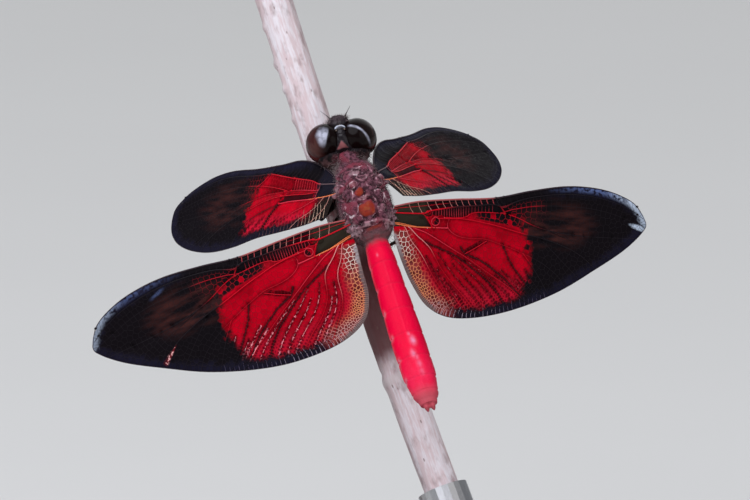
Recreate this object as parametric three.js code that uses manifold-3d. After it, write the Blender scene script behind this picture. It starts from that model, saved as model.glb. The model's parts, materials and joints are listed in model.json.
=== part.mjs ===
// A small black-and-red dragonfly (a male Diastatops) clinging to a steep plant stem,
// as a still, life-size model on a plain display stand.
// Millimetres, +Z up. The origin is the centre of the stand base's underside.
// The animal has its own frame: +X to its right, +Y forward, +Z to its back, and its
// origin midway between the roots of the forewings.

import * as THREE from 'three';
import { mergeVertices } from 'three/addons/utils/BufferGeometryUtils.js';
import Module from 'manifold-3d';

const wasm = await Module();
wasm.setup();

// ---------------------------------------------------------------- driving dimensions

const GAP = 0.08; // clearance between touching pieces of the animal

// The animal's attitude: how it is turned from lying level with its head along +Y.
const attitude = { rear: 82, lean: 17.5, nod: -15, roll: 5.3 }; // degrees
const wingRootsHeight = 39.4; // of the animal's origin above the table
const animalOffset = new THREE.Vector3(-3, -2, wingRootsHeight);

const stem = {
  radius: 1.6,
  below: 26.6, // length below the point under the wings
  above: 20.9, // length above it
  underWings: new THREE.Vector3(-1.35, 0, -7.4), // that point, in the animal's frame
  leanLeft: 19.4, // degrees
  leanBack: 17.5, // degrees
  bow: 0.4, // sideways bow of the ends
  nodeAt: -15.3, // leaf scar that rings the stem
};

const stand = { radius: 26, thickness: 4, rod: 1, cupRadius: 2.2, cupFloor: 0.8, cupDepth: 1.1 };

const thoraxRear = -4.95;
const abdomen = {
  start: new THREE.Vector3(0, thoraxRear - 0.35, -1.05),
  raisedAtBase: 11, // degrees above the thorax's line
  raisedAtTip: 18,
  swing: 0.8, // degrees to the animal's left
  // lengths of the ten segments
  segments: [0.8, 1.5, 2.2, 2.45, 2.5, 2.4, 2.1, 1.4, 0.8, 0.45],
  sides: 14,
};

const head = { place: new THREE.Vector3(-0.1, 4.85, -2.65), turn: -6 };
const eye = {
  centre: new THREE.Vector3(1.5, 0.1, 0.1),
  half: new THREE.Vector3(1.55, 1.7, 2.1),
  tilt: 16, // degrees by which the tops lean together
  apart: 0.16, // half of the strip between the two eyes
};

// Each wing lies in a plane of its own. droop lowers the tip, sweep brings it forward,
// and pitch turns the wing about its length, front edge up. Degrees.
const wings = {
  wing_fore_left: { side: -1, droop: 55.5, sweep: 35.4, pitch: -31.2, pair: 'fore' },
  wing_fore_right: { side: 1, droop: 59.1, sweep: 31.6, pitch: -27.6, pair: 'fore' },
  wing_hind_left: { side: -1, droop: 19.1, sweep: -2.2, pitch: 18.1, pair: 'hind', lobe: 1.4 },
  wing_hind_right: { side: 1, droop: 27.3, sweep: -8, pitch: 24.1, pair: 'hind', lobe: 0 },
};
const wingThickness = 0.5;
const wingRoots = {
  fore: new THREE.Vector3(2.13, 0, 0),
  hind: new THREE.Vector3(1.96, -3.9, 0.2),
};
// Outlines: distance out along the wing, then across it towards the front edge.
const frontEdges = {
  fore: [[0, 1], [2.5, 2.2], [5, 3.05], [7.6, 3.4], [10.2, 3.17], [14, 2.98], [17.8, 3.02],
    [20.6, 2.65], [22.8, 1.88], [24.5, 0.9]],
  hind: [[0, 1.15], [2.5, 1.57], [6, 1.74], [10, 1.85], [13.5, 2.42], [17, 2.8], [20, 2.63],
    [22.3, 2.05], [24, 1.15]],
};
const wingTips = { fore: [25.5, -0.3], hind: [25, -0.32] };
const rearEdges = {
  fore: [[24.9, -2.2], [23.2, -3.55], [20.4, -4.44], [17, -4.8], [13.6, -4.5], [10.2, -3.81],
    [6.5, -3.4], [3, -2.95], [0, -2.33]],
  hind: [[24.6, -1.25], [22.8, -2.75], [20, -4.38], [16.5, -6.22], [12.5, -7.65], [8.8, -8.4]],
};
// The hindwing's inner lobe, which the left wing spreads further towards the abdomen.
const innerLobe = [[5.6, -8.42], [3.4, -7.45], [1.9, -5.6], [0.85, -3.6]];
const innerLobeRoot = [0, -1.42];

// Legs: where each joins the thorax, where it holds the stem, its lengths, and the way its
// knee points.
const legs = {
  fore: { root: [0.85, 2.1, -3.7], grip: 2.9, around: 58, femur: 2.3, tibia: 2.3, tarsus: 1.2,
    knee: [0.7, -1, 0] },
  mid: { root: [1, 0.75, -4.4], grip: 0.6, around: 74, femur: 2.9, tibia: 2.8, tarsus: 1.4,
    knee: [1, -0.7, 0.3] },
  hind: { root: [1.05, -0.6, -4.45], grip: -4.2, around: 70, femur: 4.3, tibia: 3.9, tarsus: 1.6,
    knee: [1.2, -0.5, 0.55] },
};
const legRadius = { root: 0.5, thigh: 0.38, knee: 0.28, shin: 0.25, foot: 0.25 };

// ---------------------------------------------------------------- finishes

function finish(color, roughness, metalness = 0) {
  return new THREE.MeshStandardMaterial({ color, roughness, metalness });
}

const dustyPurple = finish(0x6a4450, 0.75);
const shinyBlack = finish(0x14100f, 0.25);
const darkEye = finish(0x1e1213, 0.08);
const crimson = finish(0xd8062f, 0.45);
const salmon = finish(0xc8606a, 0.55);
const legBlack = finish(0x1b1513, 0.4);
const wingRed = finish(0x8c0a1c, 0.35);
const paleBark = finish(0xb9adad, 0.85);
const paintedGrey = finish(0x55565a, 0.6);
const steel = finish(0xb8babd, 0.3, 1);

// ---------------------------------------------------------------- shapes

const rad = THREE.MathUtils.degToRad;
const X = new THREE.Vector3(1, 0, 0);
const Y = new THREE.Vector3(0, 1, 0);
const Z = new THREE.Vector3(0, 0, 1);

function turn(axis, degrees) {
  return new THREE.Quaternion().setFromAxisAngle(axis, rad(degrees));
}

// A closed body through rings of points, which all have the same number of points.
function loft(rings) {
  const sides = rings[0].length;
  const points = rings.flat();
  const middle = (ring) => ring.reduce((sum, p) => sum.add(p), new THREE.Vector3())
    .divideScalar(sides);
  const first = points.push(middle(rings[0])) - 1;
  const last = points.push(middle(rings.at(-1))) - 1;
  const faces = [];
  for (let i = 0; i < sides; i++) {
    const j = (i + 1) % sides;
    for (let k = 0; k + 1 < rings.length; k++) {
      const a = k * sides;
      const b = a + sides;
      faces.push(a + i, a + j, b + j, a + i, b + j, b + i);
    }
    const end = (rings.length - 1) * sides;
    faces.push(first, j, i, last, end + i, end + j);
  }
  const geometry = new THREE.BufferGeometry().setFromPoints(points);
  geometry.setIndex(faces);
  return outward(geometry);
}

// Turns the faces of a closed body outwards.
function outward(geometry) {
  const p = geometry.attributes.position;
  const index = geometry.index.array;
  const corner = (i) => new THREE.Vector3().fromBufferAttribute(p, index[i]);
  let volume = 0;
  for (let i = 0; i < index.length; i += 3) {
    volume += corner(i).dot(corner(i + 1).cross(corner(i + 2)));
  }
  if (volume < 0) {
    for (let i = 0; i < index.length; i += 3) {
      [index[i], index[i + 1]] = [index[i + 1], index[i]];
    }
  }
  return geometry;
}

// A rounded ring in a plane square to Y. fullness 2 is an ellipse, more is squarer.
function bodyRing(y, halfWidth, top, bottom, sides, fullness = 2.3) {
  const power = 2 / fullness;
  const round = (value) => Math.sign(value) * Math.abs(value) ** power;
  return Array.from({ length: sides }, (_, i) => {
    const angle = (2 * Math.PI * i) / sides;
    const z = (top + bottom) / 2 + round(Math.sin(angle)) * ((top - bottom) / 2);
    return new THREE.Vector3(halfWidth * round(Math.cos(angle)), y, z);
  });
}

// A body from stations [y, half width, top, bottom], smoothed between them.
function trunk(stations, steps, sides, grow = 0) {
  const track = (column) => new THREE.SplineCurve(
    stations.map((row) => new THREE.Vector2(row[0], row[column])),
  ).getPoints(steps);
  const [widths, tops, bottoms] = [1, 2, 3].map(track);
  return loft(widths.map((w, i) => {
    const end = i === 0 ? grow : i === steps ? -grow : 0;
    return bodyRing(w.x + end, w.y + grow, tops[i].y + grow, bottoms[i].y - grow, sides);
  }));
}

// A round tube through points, with a radius at each.
function tube(points, radii, sides = 8) {
  const rings = points.map((point, i) => {
    const before = points[Math.max(i - 1, 0)];
    const after = points[Math.min(i + 1, points.length - 1)];
    const along = after.clone().sub(before).normalize();
    const across = (Math.abs(along.z) < 0.9 ? Z : X).clone().cross(along).normalize();
    const up = along.clone().cross(across);
    return Array.from({ length: sides }, (_, k) => {
      const angle = (2 * Math.PI * k) / sides;
      return point.clone()
        .addScaledVector(across, radii[i] * Math.cos(angle))
        .addScaledVector(up, radii[i] * Math.sin(angle));
    });
  });
  return loft(rings);
}

function ellipsoid(centre, half, grow = 0, around = 14, rings = 10) {
  return new THREE.SphereGeometry(1, around, rings)
    .rotateX(Math.PI / 2)
    .scale(half.x + grow, half.y + grow, half.z + grow)
    .translate(centre.x, centre.y, centre.z);
}

function toSolid(geometry) {
  const bare = geometry.clone();
  bare.deleteAttribute('normal');
  bare.deleteAttribute('uv');
  const merged = mergeVertices(bare, 1e-5);
  return new wasm.Manifold(new wasm.Mesh({
    numProp: 3,
    vertProperties: new Float32Array(merged.attributes.position.array),
    triVerts: new Uint32Array(merged.index.array),
  }));
}

function toGeometry(solid) {
  const { vertProperties, triVerts } = solid.getMesh();
  const geometry = new THREE.BufferGeometry();
  geometry.setAttribute('position', new THREE.BufferAttribute(vertProperties, 3));
  geometry.setIndex(new THREE.BufferAttribute(triVerts, 1));
  return geometry;
}

// What a cut leaves, without the scraps.
function biggest(solid) {
  return solid.decompose().reduce((a, b) => (a.volume() > b.volume() ? a : b));
}

// ---------------------------------------------------------------- groups

const model = new THREE.Group();
const animal = new THREE.Group();
animal.position.copy(animalOffset);
animal.quaternion
  .multiply(turn(X, attitude.rear))
  .multiply(turn(Z, attitude.lean))
  .multiply(turn(X, attitude.nod))
  .multiply(turn(Y, attitude.roll));
const headGroup = new THREE.Group();
headGroup.position.copy(head.place);
headGroup.quaternion.copy(turn(Z, head.turn));
animal.add(headGroup);
model.add(animal);

function add(name, geometry, material, parent = animal) {
  const mesh = new THREE.Mesh(geometry, material);
  mesh.name = name;
  parent.add(mesh);
  return mesh;
}

// ---------------------------------------------------------------- thorax and neck

const thoraxStations = [
  [2.6, 1.1, -1.1, -3.5],
  [1.9, 1.6, 0.55, -4.15],
  [0.9, 1.98, 1.6, -4.55],
  [-0.4, 2.25, 1.95, -4.6],
  [-1.8, 2.35, 1.85, -4.5],
  [-3.1, 2.25, 1.6, -4.15],
  [-4.2, 1.8, 1.15, -3.3],
  [thoraxRear, 1.2, 0.45, -2.45],
];
const thoraxSides = 24;

function thoraxBody(grow = 0) {
  return trunk(thoraxStations, 14, thoraxSides, grow);
}

const neckStations = [[3.55, 0.75, -1.7, -3.2], [3.1, 1, -1.3, -3.45], [2.6 + GAP, 0.95, -1.25, -3.4]];

add('thorax', thoraxBody(), dustyPurple);
add('prothorax', trunk(neckStations, 4, 16), dustyPurple);

// ---------------------------------------------------------------- head

function eyeBody(side, grow = 0) {
  const round = ellipsoid(new THREE.Vector3(), eye.half, grow, 20, 14)
    .rotateY(rad(-side * eye.tilt))
    .translate(side * eye.centre.x, eye.centre.y, eye.centre.z);
  return toSolid(round);
}

const neckInHead = toSolid(trunk(neckStations, 4, 16, GAP))
  .translate([-head.place.x, -head.place.y, -head.place.z])
  .rotate([0, 0, -head.turn]);
const blockSize = 10;
const inner = eye.apart;
const nearMiddle = toSolid(new THREE.BoxGeometry(2 * inner, blockSize, blockSize));
const eyes = { left: eyeBody(-1).subtract(nearMiddle), right: eyeBody(1).subtract(nearMiddle) };
const farSide = (side) => toSolid(
  new THREE.BoxGeometry(blockSize, blockSize, blockSize).translate(-side * blockSize / 2, 0, 0),
);
for (const [name, side] of [['left', -1], ['right', 1]]) {
  eyes[name] = eyes[name].subtract(farSide(side)).subtract(neckInHead);
  add(`eye_${name}`, toGeometry(eyes[name]), darkEye, headGroup);
}
const roomForEyes = [-1, 1]
  .map((side) => eyeBody(side, GAP).subtract(farSide(side))
    .subtract(toSolid(new THREE.BoxGeometry(2 * (inner - GAP), blockSize, blockSize))))
  .reduce((a, b) => a.add(b));

function capsuleBody(grow = 0) {
  const back = ellipsoid(new THREE.Vector3(0, -0.8, -0.15), new THREE.Vector3(2.5, 0.72, 1.8), grow);
  const middle = ellipsoid(new THREE.Vector3(0, 0.15, 0.05), new THREE.Vector3(0.95, 1.4, 1.98), grow);
  return toSolid(back).add(toSolid(middle));
}

function fronsBody(grow = 0) {
  return toSolid(ellipsoid(new THREE.Vector3(0, 1.45, 0.55), new THREE.Vector3(1, 0.9, 0.85), grow));
}

add('head', toGeometry(capsuleBody().subtract(roomForEyes).subtract(neckInHead)), shinyBlack, headGroup);
add('frons', toGeometry(fronsBody().subtract(roomForEyes).subtract(capsuleBody(GAP))), shinyBlack,
  headGroup);

const mouthLobes = [
  [[0, 1.5, -0.55], [0.95, 0.68, 0.6]],
  [[0, 1.15, -1.25], [1.05, 0.8, 0.75]],
  [[0, 0.45, -1.65], [1.15, 0.95, 0.5]],
];
const mouth = mouthLobes
  .map(([centre, half]) => toSolid(ellipsoid(
    new THREE.Vector3(...centre), new THREE.Vector3(...half), 0, 10, 8,
  )))
  .reduce((a, b) => a.add(b));
add('mouthparts', toGeometry(mouth.subtract(roomForEyes).subtract(capsuleBody(GAP))
  .subtract(fronsBody(GAP))), shinyBlack, headGroup);

for (const [name, side] of [['left', -1], ['right', 1]]) {
  const points = [[0.55, 1.7, 1.15], [0.95, 2.3, 1.05], [1.3, 2.8, 0.75]]
    .map(([x, y, z]) => new THREE.Vector3(side * x, y, z));
  const feeler = toSolid(tube(points, [0.26, 0.25, 0.25], 6));
  add(`antenna_${name}`, toGeometry(feeler.subtract(fronsBody(GAP)).subtract(roomForEyes)
    .subtract(capsuleBody(GAP))), shinyBlack, headGroup);
}

// ---------------------------------------------------------------- abdomen

const abdomenLength = abdomen.segments.reduce((sum, length) => sum + length);

function abdomenCentre(s) {
  const rise = rad(abdomen.raisedAtBase
    + ((abdomen.raisedAtTip - abdomen.raisedAtBase) * s) / (2 * abdomenLength));
  const aside = rad(abdomen.swing);
  return new THREE.Vector3(
    -Math.sin(aside) * Math.cos(rise), -Math.cos(aside) * Math.cos(rise), Math.sin(rise),
  ).multiplyScalar(s).add(abdomen.start);
}

// Half width, height above and depth below the centre line, along the abdomen.
const abdomenForm = [
  [0, 1.08, 1.3, 1.3],
  [0.09, 1.2, 1.32, 1.35],
  [0.22, 1.24, 1.12, 1.15],
  [0.4, 1.36, 1.05, 0.95],
  [0.6, 1.44, 1, 0.85],
  [0.8, 1.42, 0.95, 0.8],
  [0.92, 1.15, 0.8, 0.68],
  [1, 0.75, 0.55, 0.48],
];

function abdomenSize(s) {
  const f = Math.min(Math.max(s / abdomenLength, 0), 1);
  const k = Math.max(abdomenForm.findIndex((row) => row[0] >= f), 1);
  const [a, b] = [abdomenForm[k - 1], abdomenForm[k]];
  const t = (f - a[0]) / (b[0] - a[0]);
  const smooth = t * t * (3 - 2 * t);
  return [1, 2, 3].map((i) => a[i] + (b[i] - a[i]) * smooth);
}

function abdomenRing(s) {
  const step = 0.01;
  const along = abdomenCentre(s + step).sub(abdomenCentre(s - step)).normalize();
  const across = along.clone().cross(Z).normalize();
  const up = across.clone().cross(along);
  const centre = abdomenCentre(s);
  const [halfWidth, above, below] = abdomenSize(s);
  return bodyRing(0, halfWidth, 1, -1, abdomen.sides, 2.1).map((p) => centre.clone()
    .addScaledVector(across, p.x)
    .addScaledVector(up, p.z > 0 ? p.z * above : p.z * below));
}

let segmentStart = 0;
abdomen.segments.forEach((length, i) => {
  const steps = length > 1 ? 3 : 2;
  const first = segmentStart + (i > 0 ? GAP : 0);
  const span = segmentStart + length - first;
  const rings = Array.from({ length: steps + 1 }, (_, k) => abdomenRing(first + (span * k) / steps));
  add(`abdomen_${i + 1}`, loft(rings), i > 8 ? salmon : crimson);
  segmentStart += length;
});

const cercus = { apart: 0.36, radius: 0.27, length: 0.8 };
for (const [name, side] of [['left', -1], ['right', 1]]) {
  const points = [GAP, cercus.length / 2, cercus.length].map((s) => abdomenCentre(abdomenLength + s)
    .add(new THREE.Vector3(side * cercus.apart, 0, 0.1)));
  add(`cercus_${name}`, tube(points, [cercus.radius, cercus.radius, 0.25], 8), salmon);
}

// ---------------------------------------------------------------- wings

function wingFrame({ side, droop, sweep, pitch }) {
  const [d, s, p] = [droop, sweep, pitch].map(rad);
  const out = new THREE.Vector3(Math.cos(s) * Math.cos(d), Math.sin(s) * Math.cos(d), -Math.sin(d));
  const ahead = Y.clone().addScaledVector(out, -out.y).normalize();
  const up = out.clone().cross(ahead);
  const forward = ahead.multiplyScalar(Math.cos(p)).addScaledVector(up, Math.sin(p));
  const mirror = new THREE.Vector3(side, 1, 1);
  out.multiply(mirror);
  forward.multiply(mirror);
  return { out, forward, normal: out.clone().cross(forward) };
}

function wingOutline(pair, lobe = 0) {
  const inner = pair === 'hind'
    ? [...innerLobe.map(([u, v], i) => [u - lobe * [0.6, 1, 0.8, 0.3][i], v]), innerLobeRoot]
    : [];
  const points = [...frontEdges[pair], wingTips[pair], ...rearEdges[pair], ...inner]
    .map(([u, v]) => new THREE.Vector2(u, v));
  return new THREE.SplineCurve(points).getPoints(3 * points.length);
}

for (const [name, wing] of Object.entries(wings)) {
  const { out, forward, normal } = wingFrame(wing);
  const root = wingRoots[wing.pair].clone().multiply(new THREE.Vector3(wing.side, 1, 1));
  const placing = new THREE.Matrix4().makeBasis(out, forward, normal).setPosition(root);
  const blade = new THREE.ExtrudeGeometry(new THREE.Shape(wingOutline(wing.pair, wing.lobe)), {
    depth: wingThickness, bevelEnabled: false,
  }).translate(0, 0, -wingThickness / 2);
  const thoraxHere = toSolid(thoraxBody(GAP).applyMatrix4(placing.clone().invert()));
  const mesh = add(name, toGeometry(toSolid(blade).subtract(thoraxHere)), wingRed);
  mesh.applyMatrix4(placing);
}

// ---------------------------------------------------------------- stem

const stemUp = new THREE.Vector3(-Math.tan(rad(stem.leanLeft)), Math.tan(rad(stem.leanBack)), 1)
  .normalize();
const intoAnimal = animal.quaternion.clone().invert();
const stemPoint = stem.underWings.clone().applyQuaternion(animal.quaternion).add(animalOffset);

function stemCentre(s) {
  return stemPoint.clone().addScaledVector(stemUp, s).addScaledVector(X, stem.bow * (s / 25) ** 2);
}

function stemRadius(s) {
  return stem.radius + 0.14 * Math.exp(-(((s - stem.nodeAt) / 0.7) ** 2));
}

// Rings along the stem, close together at the leaf scar.
const scarSteps = [-1.6, -0.7, -0.35, 0, 0.35, 0.7, 1.6].map((s) => stem.nodeAt + s);
const lowerSteps = [0, 0.35, 0.7].map((f) => -stem.below + f * (scarSteps[0] + stem.below));
const upperSteps = Array.from({ length: 11 }, (_, i) => {
  const from = scarSteps.at(-1);
  return from + ((i + 1) * (stem.above - from)) / 11;
});
const stemSteps = [...lowerSteps, ...scarSteps, ...upperSteps];
add('perch_stem', tube(stemSteps.map(stemCentre), stemSteps.map(stemRadius), 16), paleBark, model);

// ---------------------------------------------------------------- legs

// The stem in the animal's frame, at a distance y along the animal.
function stemByAnimal(y) {
  const up = stemUp.clone().applyQuaternion(intoAnimal);
  return { up, centre: stem.underWings.clone().addScaledVector(up, y / up.y) };
}

// The knee of a leg from root to foot, bent towards pole.
function kneeOf(root, foot, femur, tibia, pole) {
  const reach = foot.clone().sub(root);
  const distance = reach.length();
  const along = (femur ** 2 - tibia ** 2 + distance ** 2) / (2 * distance);
  const out = Math.sqrt(Math.max(femur ** 2 - along ** 2, 0));
  reach.normalize();
  const bend = pole.clone().addScaledVector(reach, -pole.dot(reach)).normalize();
  return root.clone().addScaledVector(reach, along).addScaledVector(bend, out);
}

const thoraxRoom = toSolid(thoraxBody(GAP));
const neckRoom = toSolid(trunk(neckStations, 4, 16, GAP));

for (const [pair, leg] of Object.entries(legs)) {
  for (const [name, side] of [['left', -1], ['right', 1]]) {
    const root = new THREE.Vector3(side * leg.root[0], leg.root[1], leg.root[2]);
    const { up, centre } = stemByAnimal(leg.grip);
    const toBack = Z.clone().addScaledVector(up, -up.z).normalize();
    const aside = up.clone().cross(toBack).multiplyScalar(side);
    const angle = rad(leg.around);
    const outFromStem = toBack.clone().multiplyScalar(Math.cos(angle))
      .addScaledVector(aside, Math.sin(angle));
    const clear = stem.radius + legRadius.foot + 0.06;
    const foot = centre.clone().addScaledVector(outFromStem, clear);
    const step = leg.grip < 0 ? -1 : 1;
    const toe = foot.clone().addScaledVector(up, step * leg.tarsus);
    const pole = new THREE.Vector3(side * leg.knee[0], leg.knee[1], leg.knee[2]);
    const knee = kneeOf(root, foot, leg.femur, leg.tibia, pole);
    const thigh = root.clone().lerp(knee, 0.35);
    const femurBody = (grow) => tube([root.clone().addScaledVector(Z, 0.6), root, thigh, knee,
      knee.clone().add(knee.clone().sub(thigh).setLength(0.15))],
    [legRadius.root, legRadius.root, legRadius.thigh, legRadius.knee, 0.18].map((r) => r + grow));
    const ankle = foot.clone().addScaledVector(outFromStem, 0.05);
    const tibiaBody = (grow) => tube([knee, knee.clone().lerp(ankle, 0.5), ankle],
      [legRadius.shin, legRadius.shin, legRadius.foot].map((r) => r + grow));
    const prefix = `leg_${pair}_${name}`;
    const femur = toSolid(femurBody(0)).subtract(thoraxRoom).subtract(neckRoom);
    const tibia = toSolid(tibiaBody(0)).subtract(toSolid(femurBody(GAP)));
    const tarsus = toSolid(tube([foot, toe], [legRadius.foot, legRadius.foot]))
      .subtract(toSolid(tibiaBody(GAP)));
    add(`${prefix}_femur`, toGeometry(biggest(femur)), legBlack);
    add(`${prefix}_tibia`, toGeometry(biggest(tibia)), legBlack);
    add(`${prefix}_tarsus`, toGeometry(biggest(tarsus)), legBlack);
  }
}

// ---------------------------------------------------------------- stand

const baseCorner = 0.6;
const baseProfile = [
  [0, 0], [stand.radius - baseCorner, 0], [stand.radius, baseCorner],
  [stand.radius, stand.thickness - baseCorner], [stand.radius - baseCorner, stand.thickness],
  [0, stand.thickness],
].map(([r, z]) => new THREE.Vector2(r, z));
add('stand_base', new THREE.LatheGeometry(baseProfile, 48).rotateX(Math.PI / 2), paintedGrey, model);

const stemEnd = stemCentre(-stem.below);
const endUp = stemCentre(-stem.below + 1).sub(stemEnd).normalize();
const bore = stem.radius + 0.1;
const cupProfile = [
  [0, -stand.cupFloor - GAP], [stand.cupRadius, -stand.cupFloor - GAP],
  [stand.cupRadius, stand.cupDepth], [bore, stand.cupDepth], [bore, -GAP], [0, -GAP],
].map(([r, z]) => new THREE.Vector2(r, z));
const cup = add('stand_cup', new THREE.LatheGeometry(cupProfile, 24).rotateX(Math.PI / 2), steel,
  model);
cup.position.copy(stemEnd);
cup.quaternion.setFromUnitVectors(Z, endUp);

const rodTop = stemEnd.clone().addScaledVector(endUp, -stand.cupFloor - 2 * GAP);
const rodBend = rodTop.clone().addScaledVector(endUp, -3);
const rodFoot = rodBend.clone().setZ(stand.thickness + GAP);
const rodCurve = new THREE.QuadraticBezierCurve3(rodFoot, rodBend, rodTop);
add('stand_rod', tube(rodCurve.getPoints(8), Array(9).fill(stand.rod), 16), steel, model);

export default model;
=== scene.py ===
"""A small black-and-red dragonfly on a plant stem, as a life-size museum model: its looks.

The pieces are modelled in millimetres in the animal's own frame (+X its right, +Y forward, +Z its
back, the origin midway between the roots of the forewings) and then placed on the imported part.
"""

import json
from math import cos, pi, radians, sin, tan

import bpy
import numpy as np
from bpy.props import FloatProperty, FloatVectorProperty, IntProperty, PointerProperty
from bpy.types import Operator, Panel, PropertyGroup
from mathutils import Matrix, Vector, noise
from mathutils.geometry import delaunay_2d_cdt

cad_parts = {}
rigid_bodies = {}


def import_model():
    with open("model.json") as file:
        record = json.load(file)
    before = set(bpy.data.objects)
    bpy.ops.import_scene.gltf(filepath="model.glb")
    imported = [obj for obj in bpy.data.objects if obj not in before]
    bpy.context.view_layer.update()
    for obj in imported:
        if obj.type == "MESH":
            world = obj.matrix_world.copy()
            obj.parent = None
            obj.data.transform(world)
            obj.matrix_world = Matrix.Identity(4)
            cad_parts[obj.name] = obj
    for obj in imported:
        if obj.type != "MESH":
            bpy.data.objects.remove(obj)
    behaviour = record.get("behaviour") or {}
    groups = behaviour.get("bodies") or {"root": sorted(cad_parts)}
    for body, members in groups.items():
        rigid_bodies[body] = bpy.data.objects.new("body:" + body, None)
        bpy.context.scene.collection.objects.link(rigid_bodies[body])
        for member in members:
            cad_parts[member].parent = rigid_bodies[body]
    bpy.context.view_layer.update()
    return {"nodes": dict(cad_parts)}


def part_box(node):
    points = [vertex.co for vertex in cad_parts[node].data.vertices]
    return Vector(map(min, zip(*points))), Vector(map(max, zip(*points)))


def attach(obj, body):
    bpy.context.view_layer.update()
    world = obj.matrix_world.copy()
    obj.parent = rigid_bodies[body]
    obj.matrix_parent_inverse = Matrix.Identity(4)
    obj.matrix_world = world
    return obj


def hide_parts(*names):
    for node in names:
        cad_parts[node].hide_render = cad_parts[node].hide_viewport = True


bl_info = {
    "name": "Dragonfly model",
    "version": (1, 0, 0),
    "blender": (4, 5, 0),
    "location": "3D View > Sidebar > Dragonfly",
    "description": "Dresses a life-size dragonfly on its stem: skin, eyes, wings, legs, hair and stand",
    "category": "Add Mesh",
}

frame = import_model()
MM = 0.001
WELD = 0.002
SKIN_SMOOTHING, HEAD_SMOOTHING, LEG_SMOOTHING = 10, 5, 3
LEG_GRAIN = 0.05
BODY = "root"
NODES = frame["nodes"]

# ---- where things are


def turn(degrees, axis):
    """A turn about an axis."""
    return Matrix.Rotation(radians(degrees), 4, axis)


# The animal's attitude on the stem, and its origin above the stand's underside.
ATTITUDE = turn(82, "X") @ turn(17.5, "Z") @ turn(-15, "X") @ turn(5.3, "Y")
ANIMAL_PLACE = Vector((-3, -2, 39.4))
WORLD = Matrix.Scale(MM, 4)
ANIMAL = WORLD @ Matrix.Translation(ANIMAL_PLACE) @ ATTITUDE
HEAD_PLACE = Vector((-0.1, 4.85, -2.65))
HEAD_TURN = -6
HEAD = Matrix.Translation(HEAD_PLACE) @ turn(HEAD_TURN, "Z")

EYE_CENTRE = Vector((1.5, 0.1, 0.1))
EYE_HALF = Vector((1.55, 1.7, 2.1))
EYE_TILT = 16
EYE_APART = 0.16

# The abdomen's axis, and the lengths of its ten segments.
ABDOMEN_START = Vector((0, -5.3, -1.05))
ABDOMEN_RISE = (11, 18)
ABDOMEN_LEAN = 14
ABDOMEN_SWING = 0.8
SEGMENTS = (0.8, 1.5, 2.2, 2.45, 2.5, 2.4, 2.1, 1.4, 0.8, 0.45)
SEGMENT_ENDS = np.cumsum(SEGMENTS)
ABDOMEN_LENGTH = float(SEGMENT_ENDS[-1])

# The stem's axis, from the point under the wings.
STEM_UNDER_WINGS = Vector((-1.35, 0, -7.4))
STEM_LEAN = (19.4, 17.5)
STEM_BELOW = 26.6
STEM_ABOVE = 20.9
STEM_BOW = 0.4
STEM_RADIUS = 1.6
STEM_SIDES = 72
LEAF_SCAR = -15.3

# Each wing's plane: droop lowers the tip, sweep brings it forward, pitch lifts the front edge.
WINGS = {
    "wing_fore_left": {"side": -1, "droop": 55.5, "sweep": 35.4, "pitch": -31.2, "lobe": 0},
    "wing_fore_right": {"side": 1, "droop": 59.1, "sweep": 31.6, "pitch": -27.6, "lobe": 0},
    "wing_hind_left": {"side": -1, "droop": 19.1, "sweep": -2.2, "pitch": 18.1, "lobe": 1.4},
    "wing_hind_right": {"side": 1, "droop": 27.3, "sweep": -8, "pitch": 24.1, "lobe": 0},
}
WING_ROOTS = {"fore": Vector((2.13, 0, 0)), "hind": Vector((1.96, -3.9, 0.2))}


def abdomen_centre(s):
    """The abdomen's centre line, s millimetres along it."""
    base, tip = ABDOMEN_RISE
    rise = radians(base + (tip - base) * s / (2 * ABDOMEN_LENGTH))
    aside = radians(ABDOMEN_SWING)
    way = Vector((-sin(aside) * cos(rise), -cos(aside) * cos(rise), sin(rise)))
    return ABDOMEN_START + way * s


def pair_of(name):
    """Which pair a wing belongs to."""
    return "fore" if "fore" in name else "hind"


def stem_centre(s):
    """The stem's centre line in millimetres above the stand, s along it."""
    left, back = (tan(radians(lean)) for lean in STEM_LEAN)
    up = Vector((-left, back, 1)).normalized()
    under = ANIMAL_PLACE + ATTITUDE.to_3x3() @ STEM_UNDER_WINGS
    return under + up * s + Vector((STEM_BOW * (s / 25) ** 2, 0, 0))


def wing_place(name):
    """The matrix from a wing's plane (out, forward, thickness) to the animal's frame."""
    wing = WINGS[name]
    droop, sweep, pitch = (radians(wing[key]) for key in ("droop", "sweep", "pitch"))
    out = Vector((cos(sweep) * cos(droop), sin(sweep) * cos(droop), -sin(droop)))
    ahead = (Vector((0, 1, 0)) - out * out.y).normalized()
    forward = ahead * cos(pitch) + out.cross(ahead) * sin(pitch)
    mirror = Matrix.Diagonal((wing["side"], 1, 1))
    out, forward = mirror @ out, mirror @ forward
    axes = Matrix((out, forward, out.cross(forward))).transposed().to_4x4()
    return Matrix.Translation(mirror @ WING_ROOTS[pair_of(name)]) @ axes


# ---- sizes and colours


def size(name, text, default, low=0, high=100):
    """A size that a user can change, in millimetres."""
    return FloatProperty(name=name, description=text, default=default, min=low, max=high,
                         precision=3)


def colour(name, text, red, green, blue):
    """A linear colour that a user can change."""
    return FloatVectorProperty(name=name, description=text, default=(red, green, blue),
                               subtype="COLOR", size=3, min=0, max=1)


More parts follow.
